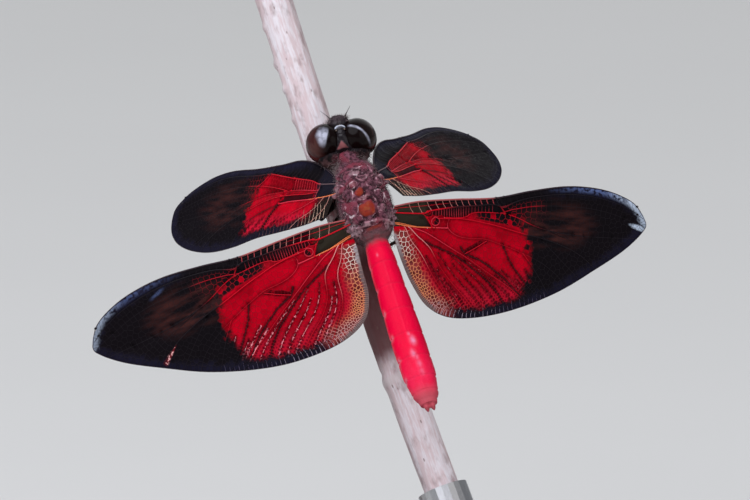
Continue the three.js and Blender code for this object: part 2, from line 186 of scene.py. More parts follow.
class DragonflySizes(PropertyGroup):
    """Sizes of the fine pieces, in millimetres."""

    skin_grain: size("Skin grain", "Size of the faces of the body's skin", 0.075, 0.04, 0.3)
    head_grain: size("Head grain", "Size of the faces of the head's skin", 0.055, 0.03, 0.3)
    stem_grain: size("Stem grain", "Size of the faces of the stem's bark", 0.16, 0.08, 0.5)
    membrane: size("Membrane", "Thickness of the wing membrane", 0.03, 0.01, 0.1)
    main_vein: size("Main veins", "Radius of the wings' main veins", 0.05, 0.02, 0.15)
    cross_vein: size("Cross-veins", "Radius of the veins between the cells", 0.026, 0.01, 0.1)
    hair_length: size("Hair length", "Length of the hairs on the thorax", 0.42, 0.1, 1)
    hair_width: size("Hair width", "Thickness of a hair at its root", 0.026, 0.005, 0.1)
    hair_count: IntProperty(name="Hairs", description="Number of hairs on the thorax and head",
                            default=5200, min=0, max=20000)
    spine_length: size("Leg spines", "Length of the spines on the legs", 0.5, 0.1, 1.5)


class DragonflyColours(PropertyGroup):
    """The finishes' main colours."""

    ruby: colour("Ruby", "Inner field of the wings", 0.45, 0, 0.01)
    wine: colour("Wine", "Dark red of the small cells", 0.1, 0.001, 0.006)
    soot: colour("Soot", "Outer half of the wings", 0.006, 0.0045, 0.006)
    umber: colour("Umber", "Brown sheen in the black", 0.056, 0.0175, 0.0155)
    # painted sheen: the blue-violet of the wings' margins
    navy_sheen: colour("Navy", "Blue-violet margins of the wings", 0.014, 0.013, 0.032)
    cream: colour("Cream", "Pale cross-veins", 0.6, 0.27, 0.22)
    amber: colour("Amber", "Lace of the hindwings' inner field", 0.78, 0.3, 0.13)
    coral: colour("Coral", "Veins in the ruby field", 0.7, 0.03, 0.06)
    crimson: colour("Crimson", "Abdomen", 0.78, 0, 0.038)
    mauve: colour("Mauve", "Thorax", 0.17, 0.062, 0.088)
    # blush tints some plates, and the painted highlights on the plates' raised edges
    blush: colour("Blush", "Raised edges of the thorax's plates", 0.52, 0.25, 0.3)
    rust: colour("Rust", "Bosses on the thorax", 0.25, 0.026, 0.012)
    eye: colour("Eye", "Compound eyes", 0.022, 0.008, 0.008)
    bark: colour("Bark", "Pale bark of the stem", 0.735, 0.69, 0.72)
    bark_shade: colour("Bark shade", "Brown streaks of the stem", 0.3, 0.24, 0.245)
    wood: colour("Wood", "Stand base", 0.05, 0.026, 0.017)
    floor: colour("Floor", "The plain floor", 0.62, 0.62, 0.6)


def sizes():
    """The sizes in use."""
    return bpy.context.scene.dragonfly_sizes


def paint(name, shade=1):
    """A colour in use, lighter or darker."""
    value = getattr(bpy.context.scene.dragonfly_colours, name)
    return tuple(min(channel * shade, 1) for channel in value)


# ---- modelling tools


def only(*pieces):
    """Selects just these objects and makes the first the active one."""
    bpy.ops.object.select_all(action="DESELECT")
    for piece in pieces:
        piece.select_set(True)
    bpy.context.view_layer.objects.active = pieces[0]


def shape(name, vertices, faces):
    """A new mesh object."""
    mesh = bpy.data.meshes.new(name)
    mesh.from_pydata([tuple(v) for v in vertices], [], [tuple(f) for f in faces])
    piece = bpy.data.objects.new(name, mesh)
    bpy.context.scene.collection.objects.link(piece)
    return piece


def added(name):
    """The primitive that an operator has just added, renamed."""
    piece = bpy.context.active_object
    piece.name = piece.data.name = name
    return piece


def modify(piece, kind, **settings):
    """Adds a modifier and applies it."""
    only(piece)
    modifier = piece.modifiers.new(kind.lower(), kind)
    for key, value in settings.items():
        setattr(modifier, key, value)
    bpy.ops.object.modifier_apply(modifier=modifier.name)


def join(name, pieces):
    """One object made from several."""
    only(*pieces)
    if len(pieces) > 1:
        bpy.ops.object.join()
    return added(name)


def edit(piece, operator, **settings):
    """Runs an edit-mode operator on a whole mesh."""
    only(piece)
    bpy.ops.object.mode_set(mode="EDIT")
    bpy.ops.mesh.select_all(action="SELECT")
    operator(**settings)
    bpy.ops.object.mode_set(mode="OBJECT")


def cad_copy(name, nodes):
    """A closed copy of CAD nodes, in millimetres in the animal's frame."""
    copies = []
    for node in nodes:
        copy = NODES[node].copy()
        copy.data = NODES[node].data.copy()
        copy.data.materials.clear()
        copy.parent = None
        copy.matrix_world = Matrix.Identity(4)
        for key in [key for key in copy.keys() if key.startswith("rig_")]:
            del copy[key]
        bpy.context.scene.collection.objects.link(copy)
        copy.data.transform(ANIMAL.inverted())
        copies.append(copy)
    piece = join(name, copies)
    edit(piece, bpy.ops.mesh.remove_doubles, threshold=WELD)
    if "custom_normal" in piece.data.attributes:
        piece.data.attributes.remove(piece.data.attributes["custom_normal"])
    return piece


def remesh(piece, grain, smoothing):
    """Makes one even skin of overlapping closed shapes, and smooths it."""
    only(piece)
    piece.data.remesh_voxel_size = grain
    piece.data.remesh_voxel_adaptivity = 0
    bpy.ops.object.voxel_remesh()
    modify(piece, "SMOOTH", factor=0.5, iterations=smoothing)


def ball(name, centre, half, tilt=Matrix(), around=32, rings=20):
    """An ellipsoid."""
    bpy.ops.object.select_all(action="DESELECT")
    bpy.ops.mesh.primitive_uv_sphere_add(segments=around, ring_count=rings, radius=1)
    piece = added(name)
    piece.data.transform(Matrix.Translation(centre) @ tilt @ Matrix.Diagonal((*half, 1)))
    return piece


def read(items, field, kind=np.float32):
    """What a mesh says of each item, as rows of three numbers."""
    rows = np.empty(len(items) * 3, kind)
    items.foreach_get(field, rows)
    return rows.reshape(-1, 3)


def points_of(piece):
    """A mesh's vertices as an array."""
    return read(piece.data.vertices, "co").astype(float)


def normals_of(piece):
    """A mesh's vertex normals as an array."""
    return read(piece.data.vertex_normals, "vector").astype(float)


def move_points(piece, places):
    """Sets a mesh's vertices."""
    piece.data.vertices.foreach_set("co", places.astype(np.float32).ravel())
    piece.data.update()


def store(piece, name, values, domain="POINT"):
    """Keeps a number, or a vector, for each point or corner of a mesh."""
    values = np.asarray(values, np.float32)
    kind, field = ("FLOAT", "value") if values.ndim == 1 else ("FLOAT_VECTOR", "vector")
    attribute = piece.data.attributes.new(name, kind, domain)
    attribute.data.foreach_set(field, values.ravel())


def ramp(x, low, high):
    """0 below low, 1 above high, and smooth between them."""
    t = np.clip((np.asarray(x, float) - low) / (high - low), 0, 1)
    return t * t * (3 - 2 * t)


def bell(x, width):
    """1 where x is 0, and soon nothing on both sides."""
    return np.exp(-(x / width) ** 2)


def unit(way):
    """A vector, or each of many, made one long."""
    return way / np.linalg.norm(way, axis=-1, keepdims=True)


def circle(count):
    """Evenly spaced points on a circle."""
    angles = 2 * pi * np.arange(count) / count
    return np.stack([np.cos(angles), np.sin(angles)], axis=1)


def settle(piece, finish, place=ANIMAL, replaces=(), smooth=True):
    """Places a finished piece on the part, with its finish."""
    piece.data.transform(place)
    piece.data.materials.clear()
    piece.data.materials.append(finish)
    if smooth:
        piece.data.shade_smooth()
    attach(piece, BODY)
    if replaces:
        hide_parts(*replaces)


# ---- shader arithmetic


class Value:
    """The output of a shader node, ready for arithmetic."""

    def __init__(self, finish, socket):
        self.finish = finish
        self.socket = socket

    def __add__(self, other):
        return self.finish.maths("ADD", self, other)

    def __sub__(self, other):
        return self.finish.maths("SUBTRACT", self, other)

    def __rsub__(self, other):
        return self.finish.maths("SUBTRACT", other, self)

    def __mul__(self, other):
        return self.finish.maths("MULTIPLY", self, other)

    __radd__ = __add__
    __rmul__ = __mul__

    def squared(self):
        """The value times itself."""
        return self * self

    def most(self, other):
        """The larger of two values."""
        return self.finish.maths("MAXIMUM", self, other)

    def size(self):
        """The value without its sign."""
        return self.finish.maths("ABSOLUTE", self)

    def rise(self, low, high):
        """0 below low, 1 above high, and smooth between them."""
        return self.finish.node("ShaderNodeMapRange", {"interpolation_type": "SMOOTHSTEP"}, {
            "Value": self, "From Min": low, "From Max": high, "To Min": 0, "To Max": 1})

    def fall(self, low, high):
        """1 below low, 0 above high, and smooth between them."""
        return 1 - self.rise(low, high)


class Finish:
    """A material with one shader, built up from nodes."""

    def __init__(self, name):
        self.material = bpy.data.materials.new(name)
        self.material.use_nodes = True
        self.tree = self.material.node_tree
        self.shader = self.tree.nodes["Principled BSDF"]

    def node(self, kind, settings=None, inputs=None, output=0):
        """Any node: its settings first, then the values or links of its sockets."""
        node = self.tree.nodes.new(kind)
        for key, value in (settings or {}).items():
            setattr(node, key, value)
        for key, value in (inputs or {}).items():
            self.put(node.inputs[key], value)
        return Value(self, node.outputs[output])

    def put(self, socket, value):
        """Links or sets one socket; a colour is given without its alpha."""
        if isinstance(value, Value):
            self.tree.links.new(value.socket, socket)
        else:
            socket.default_value = (*value, 1) if socket.type == "RGBA" else value

    def maths(self, operation, *values):
        """A Math node."""
        return self.node("ShaderNodeMath", {"operation": operation}, dict(enumerate(values)))

    def mix(self, factor, first, second, blend="MIX"):
        """A colour from first (factor 0) to second (factor 1)."""
        return self.node("ShaderNodeMix", {"data_type": "RGBA", "blend_type": blend}, {
            0: factor, 6: first, 7: second}, output=2)

    def layers(self, tone, *layers):
        """A colour with others laid over it in turn, each with its share."""
        for share, colour in layers:
            tone = self.mix(share, tone, colour)
        return tone

    def shaded(self, tone, factor):
        """A colour made darker or lighter by a factor."""
        grey = self.node("ShaderNodeCombineXYZ", inputs={"X": factor, "Y": factor, "Z": factor})
        return self.mix(1, tone, grey, "MULTIPLY")

    def places(self, place=WORLD):
        """Places in millimetres: on the stand, or in the frame of a given matrix."""
        location, rotation, scale = place.decompose()
        return self.node("ShaderNodeMapping", {"vector_type": "TEXTURE"}, {
            "Vector": self.node("ShaderNodeTexCoord", output=3), "Location": location,
            "Rotation": rotation.to_euler(), "Scale": scale})

    def stretch(self, vector, x, y, z):
        """A vector with each part scaled."""
        return self.node("ShaderNodeMapping", {"vector_type": "POINT"}, {
            "Vector": vector, "Scale": (x, y, z)})

    def parts(self, vector):
        """The three parts of a vector."""
        node = self.node("ShaderNodeSeparateXYZ", inputs={"Vector": vector}).socket.node
        return [Value(self, output) for output in node.outputs]

    def kept(self, name, vector=False):
        """A value or vector that the mesh keeps for each point."""
        return self.node("ShaderNodeAttribute", {"attribute_name": name}, output=1 if vector else 2)

    def grain(self, vector, scale, detail=2, rough=0.5):
        """Soft noise from 0 to 1."""
        return self.node("ShaderNodeTexNoise", None, {
            "Vector": vector, "Scale": scale, "Detail": detail, "Roughness": rough})

    def cells(self, vector, scale):
        """Distances in a pattern of cells."""
        return self.node("ShaderNodeTexVoronoi", None, {"Vector": vector, "Scale": scale})

    def bump(self, height, millimetres, strength):
        """A normal from a height between 0 and 1."""
        return self.node("ShaderNodeBump", None, {
            "Height": height, "Distance": millimetres * MM, "Strength": strength})

    def surface(self, tone, roughness, **others):
        """Connects the shader and returns the material."""
        for key, value in {"Base Color": tone, "Roughness": roughness, **others}.items():
            self.put(self.shader.inputs[key.replace("_", " ")], value)
        return self.material


# ---- wings
# A wing is drawn in its own plane: u out along it, v across it towards the front edge. Its main
# veins are drawn, the long narrow fields are ladders of cells, and the rest grows as cells
# that keep to both sides of the main veins.

FORE_FRONT = [(0, 1), (2.5, 2.2), (5, 3.05), (7.6, 3.4), (10.2, 3.17), (14, 2.98), (17.8, 3.02),
              (20.6, 2.65), (22.8, 1.88), (24.5, 0.9)]
FORE_TIP = (25.5, -0.3)
FORE_REAR = [(24.9, -2.2), (23.2, -3.55), (20.4, -4.44), (17, -4.8), (13.6, -4.5), (10.2, -3.81),
             (6.5, -3.4), (3, -2.95), (0, -2.33)]
HIND_FRONT = [(0, 1.15), (2.5, 1.57), (6, 1.74), (10, 1.85), (13.5, 2.42), (17, 2.8), (20, 2.63),
              (22.3, 2.05), (24, 1.15)]
HIND_TIP = (25, -0.32)
HIND_REAR = [(24.6, -1.25), (22.8, -2.75), (20, -4.38), (16.5, -6.22), (12.5, -7.65), (8.8, -8.4)]
INNER_LOBE = [(5.6, -8.42), (3.4, -7.45), (1.9, -5.6), (0.85, -3.6)]
LOBE_SHARE = (0.6, 1, 0.8, 0.3)
INNER_ROOT = (0, -1.42)

# Main veins: kind, radius as a share of the main veins' radius, height above the wing's plane,
# and the points they pass through.
HIND_VEINS = {
    "subcosta": ("red", 0.5, -0.1, [(-0.3, 0.98), (3, 1.2), (6, 1.46), (9, 1.57), (10.4, 1.5)]),
    "radius": ("red", 1.15, 0.13, [(-0.3, 0.66), (0.6, 0.6), (2.8, 0.55), (3.5, 0.77), (5.75, 1.07),
        (7.8, 1.2), (9.6, 1.3), (10.3, 1.2), (10.8, 1.08), (12.2, 1.6), (14, 1.95), (16.5, 2.15),
        (19, 2.02), (21.5, 1.5), (23.5, 0.7), (24.7, 0)]),
    "nodus": ("red", 1, 0.08, [(10.05, 1.84), (10.3, 1.3), (10.75, 0.8), (11, 0.48)]),
    "arculus": ("red", 0.9, 0, [(2.8, 0.55), (3.3, 0.1), (3.8, -0.66)]),
    "ring": ("ladder", 0.9, 0.03, [(4, 0.2), (3.72, -0.02), (3.75, -0.35), (4.05, -0.5), (4.4, -0.35),
        (4.45, -0.02), (4.2, 0.2), (4, 0.2)]),
    "sector": ("red", 1, -0.08, [(3.2, 0.2), (3.75, 0.26), (4.4, 0.28), (5.5, 0.16), (6.6, 0.16),
        (7.2, 0.26), (7.6, 0.5), (8.4, 0.62), (9.8, 0.58), (11.1, 0.47), (12.4, 0.08), (13.6, -0.45),
        (15.2, -0.95), (17.5, -1.35), (20.5, -1.6), (24.2, -1.7)]),
    "fork": ("red", 0.8, 0.03, [(10.6, 0.55), (12, 0.9), (14.5, 1.15), (18, 1.05), (21, 0.6),
        (24.7, -0.6)]),
    "media": ("red", 1.1, 0.1, [(4.4, 0.1), (5.6, 0.1), (6.4, 0.08), (7.5, -0.03), (8.8, -0.28),
        (10.2, -0.57), (12.9, -1.28), (14.4, -1.6), (16.2, -2.15), (18.2, -3), (20.1, -4.4)]),
    "cubitus": ("orange", 1.15, -0.05, [(-0.4, -0.3), (0.5, -0.38), (1.1, -0.5), (2.2, -0.62), (3.8, -0.68),
        (4.9, -0.72), (5.35, -0.72)]),
    "cubitus_fork": ("orange", 0.7, -0.03, [(-0.4, -0.2), (0.5, -0.26), (1.3, -0.42), (2.2, -0.58)]),
    "lobe_edge": ("coral", 0.8, -0.04, [(5.45, 0.06), (5.3, -0.35), (5.4, -0.75), (5.8, -1.15), (6.6, -1.5),
        (7.7, -1.65), (9, -1.7), (10.2, -2.02), (11.5, -2.45), (12.8, -2.95), (14.6, -3.75), (16.2, -4.85),
        (17.1, -6)]),
    "cross_arm": ("red", 0.8, 0.02, [(7.05, -2.95), (8, -2.5), (9.2, -1.85)]),
    "anal_a": ("coral", 0.9, 0.05, [(1.9, -0.7), (3, -1.06), (3.9, -1.5), (6, -2.65), (7.4, -3.42),
        (9.6, -4.78), (11.7, -6.05), (13.3, -7.4)]),
    "anal_b": ("dark", 0.8, -0.05, [(3.1, -1.9), (4.6, -2.5), (6.2, -3.15), (7.8, -4.2), (9.4, -5.4),
        (10.6, -6.7), (11.4, -8)]),
    "anal_c": ("pink", 0.9, 0.05, [(1.4, -0.6), (1.66, -0.78), (2.25, -1.35), (3.07, -1.98), (3.6, -2.5),
        (3.95, -3.05), (4.65, -4.15), (5.8, -5.5), (7.2, -6.9), (8.5, -8.4)]),
    "anal_d": ("pink", 0.85, -0.04, [(1, -0.6), (1.18, -0.75), (1.5, -1.4), (1.9, -2), (2.45, -2.6),
        (3, -3.35), (3.6, -4.35), (4.24, -5.3), (5.2, -6.6), (6.3, -8.4)]),
    "triangle": ("dark", 0.9, -0.02, [(6.6, -2.3), (7.1, -2.95), (8.5, -3.5), (9.9, -4.35), (11.2, -5.3),
        (12.6, -6.6), (13.4, -7.3)]),
    "fall": ("dark", 0.7, 0.03, [(10.8, -2.25), (11.4, -3.45), (12.25, -4.6), (13.3, -5.8), (14.6, -7)]),
    "far_a": ("red", 0.7, 0.03, [(12.8, -2.95), (13.9, -4.3), (15.4, -6.55)]),
    "far_b": ("red", 0.7, 0.03, [(14.4, -1.6), (16.4, -3.4), (18.5, -5.3)]),
    "far_c": ("red", 0.6, 0.03, [(15.2, -0.95), (18.5, -2.2), (21.8, -3.5)]),
}
FORE_VEINS = {
    "subcosta": ("dark", 0.5, -0.1, [(-0.3, 1), (2.5, 1.8), (5, 2.4), (7.6, 2.72), (10, 2.75), (11.3, 3)]),
    "radius": ("red", 1.15, 0.13, [(-0.3, 0.68), (0.3, 0.74), (2.8, 0.85), (4.5, 1.28), (7.8, 1.72),
        (11, 2.25), (11.9, 2.32), (14, 2.28), (17, 2.38), (19.5, 2.2), (21.5, 1.7), (23.4, 0.9),
        (25, -0.1)]),
    "nodus": ("red", 1, 0.08, [(11.2, 3.05), (11.6, 2.35), (12.3, 1.65), (13.2, 1.15)]),
    "arculus": ("red", 0.9, 0, [(2.8, 0.85), (2.9, 0.3), (3.05, -0.4)]),
    "sector": ("coral", 1.1, -0.06, [(2.9, 0.3), (4.4, 0.42), (6.7, 0.56), (9.2, 0.48), (11.4, 0.36),
        (13.7, -0.15), (16, -0.6), (19, -0.9), (22, -1.2), (25.1, -1.5)]),
    "fork": ("red", 0.8, 0.04, [(8, 0.56), (10, 0.95), (12.4, 1.25), (15, 1.35), (18, 1.2), (21.5, 0.6),
        (25.2, -0.6)]),
    "media": ("red", 0.9, 0.09, [(2.95, 0.1), (4.5, 0.02), (6.7, 0.06), (9, 0), (11, -0.35), (13, -1),
        (15.5, -2), (17.6, -3.3), (18.7, -4.7)]),
    "cubitus": ("orange", 1.15, -0.05, [(-0.5, -0.12), (0, -0.17), (1.2, -0.32), (3.05, -0.44), (5, -0.48),
        (7.1, -0.5), (8.6, -0.62)]),
    "foot": ("dark", 0.9, 0.03, [(8.6, -0.62), (9.05, -1.2), (9.5, -2), (10.3, -3.8)]),
    "triangle": ("dark", 0.8, 0.02, [(8.7, -0.75), (10.5, -1.2), (12.5, -2), (14.5, -3.2), (15.7, -4.8)]),
    "anal_a": ("coral", 0.8, 0.04, [(2.4, -0.4), (4, -1.05), (6, -1.75), (7.7, -2.55), (8.7, -3.6)]),
    "anal_b": ("cream", 0.7, 0.02, [(1.6, -0.36), (2, -1), (2.9, -1.7), (4.4, -2.4), (5.4, -3.2)]),
    "anal_c": ("cream", 0.7, -0.02, [(0.8, -0.28), (0.75, -1), (1.2, -1.8), (2.4, -2.8)]),
    "far_a": ("red", 0.7, 0.03, [(12.5, -2), (13.6, -3.1), (14, -4.5)]),
    "far_b": ("red", 0.7, 0.03, [(13.7, -0.15), (17, -2), (20.6, -4.3)]),
    "far_c": ("red", 0.6, 0.03, [(16, -0.6), (19.6, -2), (22.6, -3.8)]),
}
# Narrow fields: the veins that bound each, and where its cross-veins meet the front and rear one.
HIND_LADDERS = [
    {"sides": ("front", "radius"), "kind": "cream", "shade": 1, "front": (0.35, 1.42, 2.3, 3.2, 4, 4.7,
        5.4, 6, 6.6, 7.25, 7.85, 8.5, 9.1, 9.7, 10.05), "slant": (0, 0.4, 0.42, 0.42, 0.38, 0.34, 0.3,
        0.26, 0.24, 0.22, 0.2, 0.18, 0.16, 0.15, 0.2)},
    {"sides": ("radius", "sector"), "kind": "ladder", "shade": 0.97, "front": (3.25, 3.75, 4.05, 4.33, 4.6,
        4.86, 5.12, 5.37, 5.6, 5.83, 6.06, 6.29, 6.52, 6.76, 7.02, 7.3, 7.6, 7.92, 8.25, 8.6, 8.95, 9.3,
        9.65, 10.72), "slant": (0, 0) + (0.12,) * 21 + (0.2,)},
    {"sides": ("radius", "cubitus"), "kind": "dark", "shade": 1, "front": (0.3, 2.8), "slant": (0, 0.95)},
    {"sides": ("front", "radius"), "kind": "dark", "shade": 0.8, "front": (10.8, 11.4, 12, 12.6, 13.2, 13.8,
        14.4, 15, 15.6, 16.2, 16.8, 17.5, 18.1, 20.9, 21.6, 22.3, 23, 23.6, 24.1), "slant": (0.15,) * 17 +
        (0.1, 0)},
]
FORE_LADDERS = [
    {"sides": ("front", "radius"), "kind": "dark", "shade": 1, "front": (0.35, 1.3, 2.2, 3, 3.75, 4.45, 5.1,
        5.75, 6.4, 7, 7.6, 8.2, 8.8, 9.4, 10, 10.6, 11.25), "slant": (0,) + (0.3,) * 15 + (0.35,)},
    {"sides": ("radius", "sector"), "kind": "ladder", "shade": 0.25, "front":
        (2.85, 3.3, 3.7, 4.1, 4.5, 4.9, 5.3, 5.7, 6.1, 6.5, 6.9, 7.3), "slant": (0.1,) * 12},
    {"sides": ("radius", "cubitus"), "kind": "dark", "shade": 1, "front": (0.2, 2.8), "slant": (0, 0.22)},
    {"sides": ("sector", "media"), "kind": "dark", "shade": 0.3, "front":
        (3.1, 3.6, 4.2, 4.8, 5.4, 6, 6.6, 7.2, 7.8, 8.4), "slant": (0,) * 10},
    {"sides": ("media", "cubitus"), "kind": "dark", "shade": 0.96, "front":
        (3.1, 3.9, 4.7, 5.5, 6.3, 7.1, 7.9, 8.6), "slant": (0,) * 8},
    {"sides": ("front", "radius"), "kind": "dark", "shade": 0.8, "front": (12, 12.7, 13.4, 14.1, 14.8, 15.5,
        16.2, 16.9, 17.6, 18.3, 21.1, 21.8, 22.5, 23.2, 23.9, 24.5), "slant": (0.15,) * 14 + (0.1, 0)},
]
# Veins between two main veins: where they begin along them, and how many.
HIND_FANS = [
    ("anal_d", "anal_c", 0.34, 2), ("anal_c", "anal_b", 0.3, 3), ("anal_b", "anal_a", 0.42, 1),
    ("anal_a", "triangle", 0.62, 1), ("triangle", "fall", 0.45, 2), ("fall", "far_a", 0.4, 1),
    ("far_a", "lobe_edge", 0.5, 0), ("lobe_edge", "far_b", 0.75, 0)
]
FORE_FANS = [("anal_a", "foot", 0.6, 1), ("foot", "triangle", 0.4, 2),
             ("triangle", "far_a", 0.6, 0), ("media", "far_b", 0.6, 1)]
SHADED_VEINS = {"hind": ("anal_b", "triangle", "fall", "cross_arm"), "fore": ("foot",)}
PLANS = {
    "hind": {"front": HIND_FRONT, "tip": HIND_TIP, "rear": HIND_REAR, "veins": HIND_VEINS, "ladders":
        HIND_LADDERS, "fans": HIND_FANS},
    "fore": {"front": FORE_FRONT, "tip": FORE_TIP, "rear": FORE_REAR, "veins": FORE_VEINS, "ladders":
        FORE_LADDERS, "fans": FORE_FANS},
}
# The small round cell behind each hindwing's arculus, and the rows of fine parallel veins that run
# in from the rear edge: where each row begins and ends along the wing, how far apart its veins
# are, and how long they are at both ends.
RING_CELL = (4.1, -0.15)
RING_REACH = 0.34
COMBS = {"hind": (3.3, 15.5, 0.4, 0.95, 0.6), "fore": (-0.2, 10.5, 0.5, 2.1, 0.5)}
LINE_STEP = 0.1
EDGE_STEP = 0.06
FAR_OFF = -9.0
RIM_DEPTH = 0.34
PANE_DEPTH = 0.02
FAN_POINTS = 60
FAN_END = 0.93
# How near to each other seeds may lie, as a share of the cells' width there.
PAIRS_APART = 0.55
FIELDS_APART = 0.72
SEEDS_APART = 0.8
TRIES = 16000
# Corners this far beyond the outline (squared) move onto it.
SNAP = 0.004
# Edges nearer than this to a main vein, or shorter, have no vein of their own.
CLEAR = 0.075
SHORTEST = 0.03


def through(points, step=LINE_STEP):
    """Evenly spaced points on the smooth curve through some points."""
    p = np.array(points, float)
    ends = np.vstack([p[:1], p, p[-1:]])
    t = np.linspace(0, 1, 12, endpoint=False)[:, None]
    spans = []
    for a, b, c, d in zip(ends, ends[1:], ends[2:], ends[3:]):
        spans.append((2 * b + (c - a) * t + (2 * a - 5 * b + 4 * c - d) * t ** 2
                      + (3 * b - a - 3 * c + d) * t ** 3) / 2)
    line = np.vstack([*spans, p[-1:]])
    return along(line, max(round(steps_of(line).sum() / step), 1) + 1)


def steps_of(line):
    """The lengths of a line's steps."""
    return np.linalg.norm(np.diff(line, axis=0), axis=1)


def at_places(line, run, places):
    """Points of a line whose own points are known by their places."""
    return np.stack([np.interp(places, run, column) for column in line.T], axis=1)


def along(line, count):
    """A line resampled to a number of evenly spaced points."""
    run = np.r_[0, np.cumsum(steps_of(line))]
    return at_places(line, run, np.linspace(0, run[-1], count))


def inside(points, ring):
    """Which points lie inside a closed outline."""
    within = np.zeros(len(points), bool)
    for a, b in zip(ring, np.roll(ring, -1, axis=0)):
        if a[1] == b[1]:
            continue
        level = (a[1] > points[:, 1]) != (b[1] > points[:, 1])
        reach = a[0] + (points[:, 1] - a[1]) * (b[0] - a[0]) / (b[1] - a[1])
        within ^= level & (points[:, 0] < reach)
    return within


def in_parts(points, count=2000):
    """A long array of points in shorter parts."""
    return [points[first:first + count] for first in range(0, max(len(points), 1), count)]


def squares(points, line):
    """The squared distance of each point to each point of a line."""
    return ((points[:, None] - line) ** 2).sum(axis=2)


def nearest(points, line):
    """The distance of each point to a dense line."""
    return np.sqrt(np.concatenate([squares(part, line).min(axis=1, initial=np.inf)
                                   for part in in_parts(points)]))


def rest_of(line, spot):
    """A line from its point nearest to a spot on."""
    return line[squares(np.array([spot]), line)[0].argmin():]


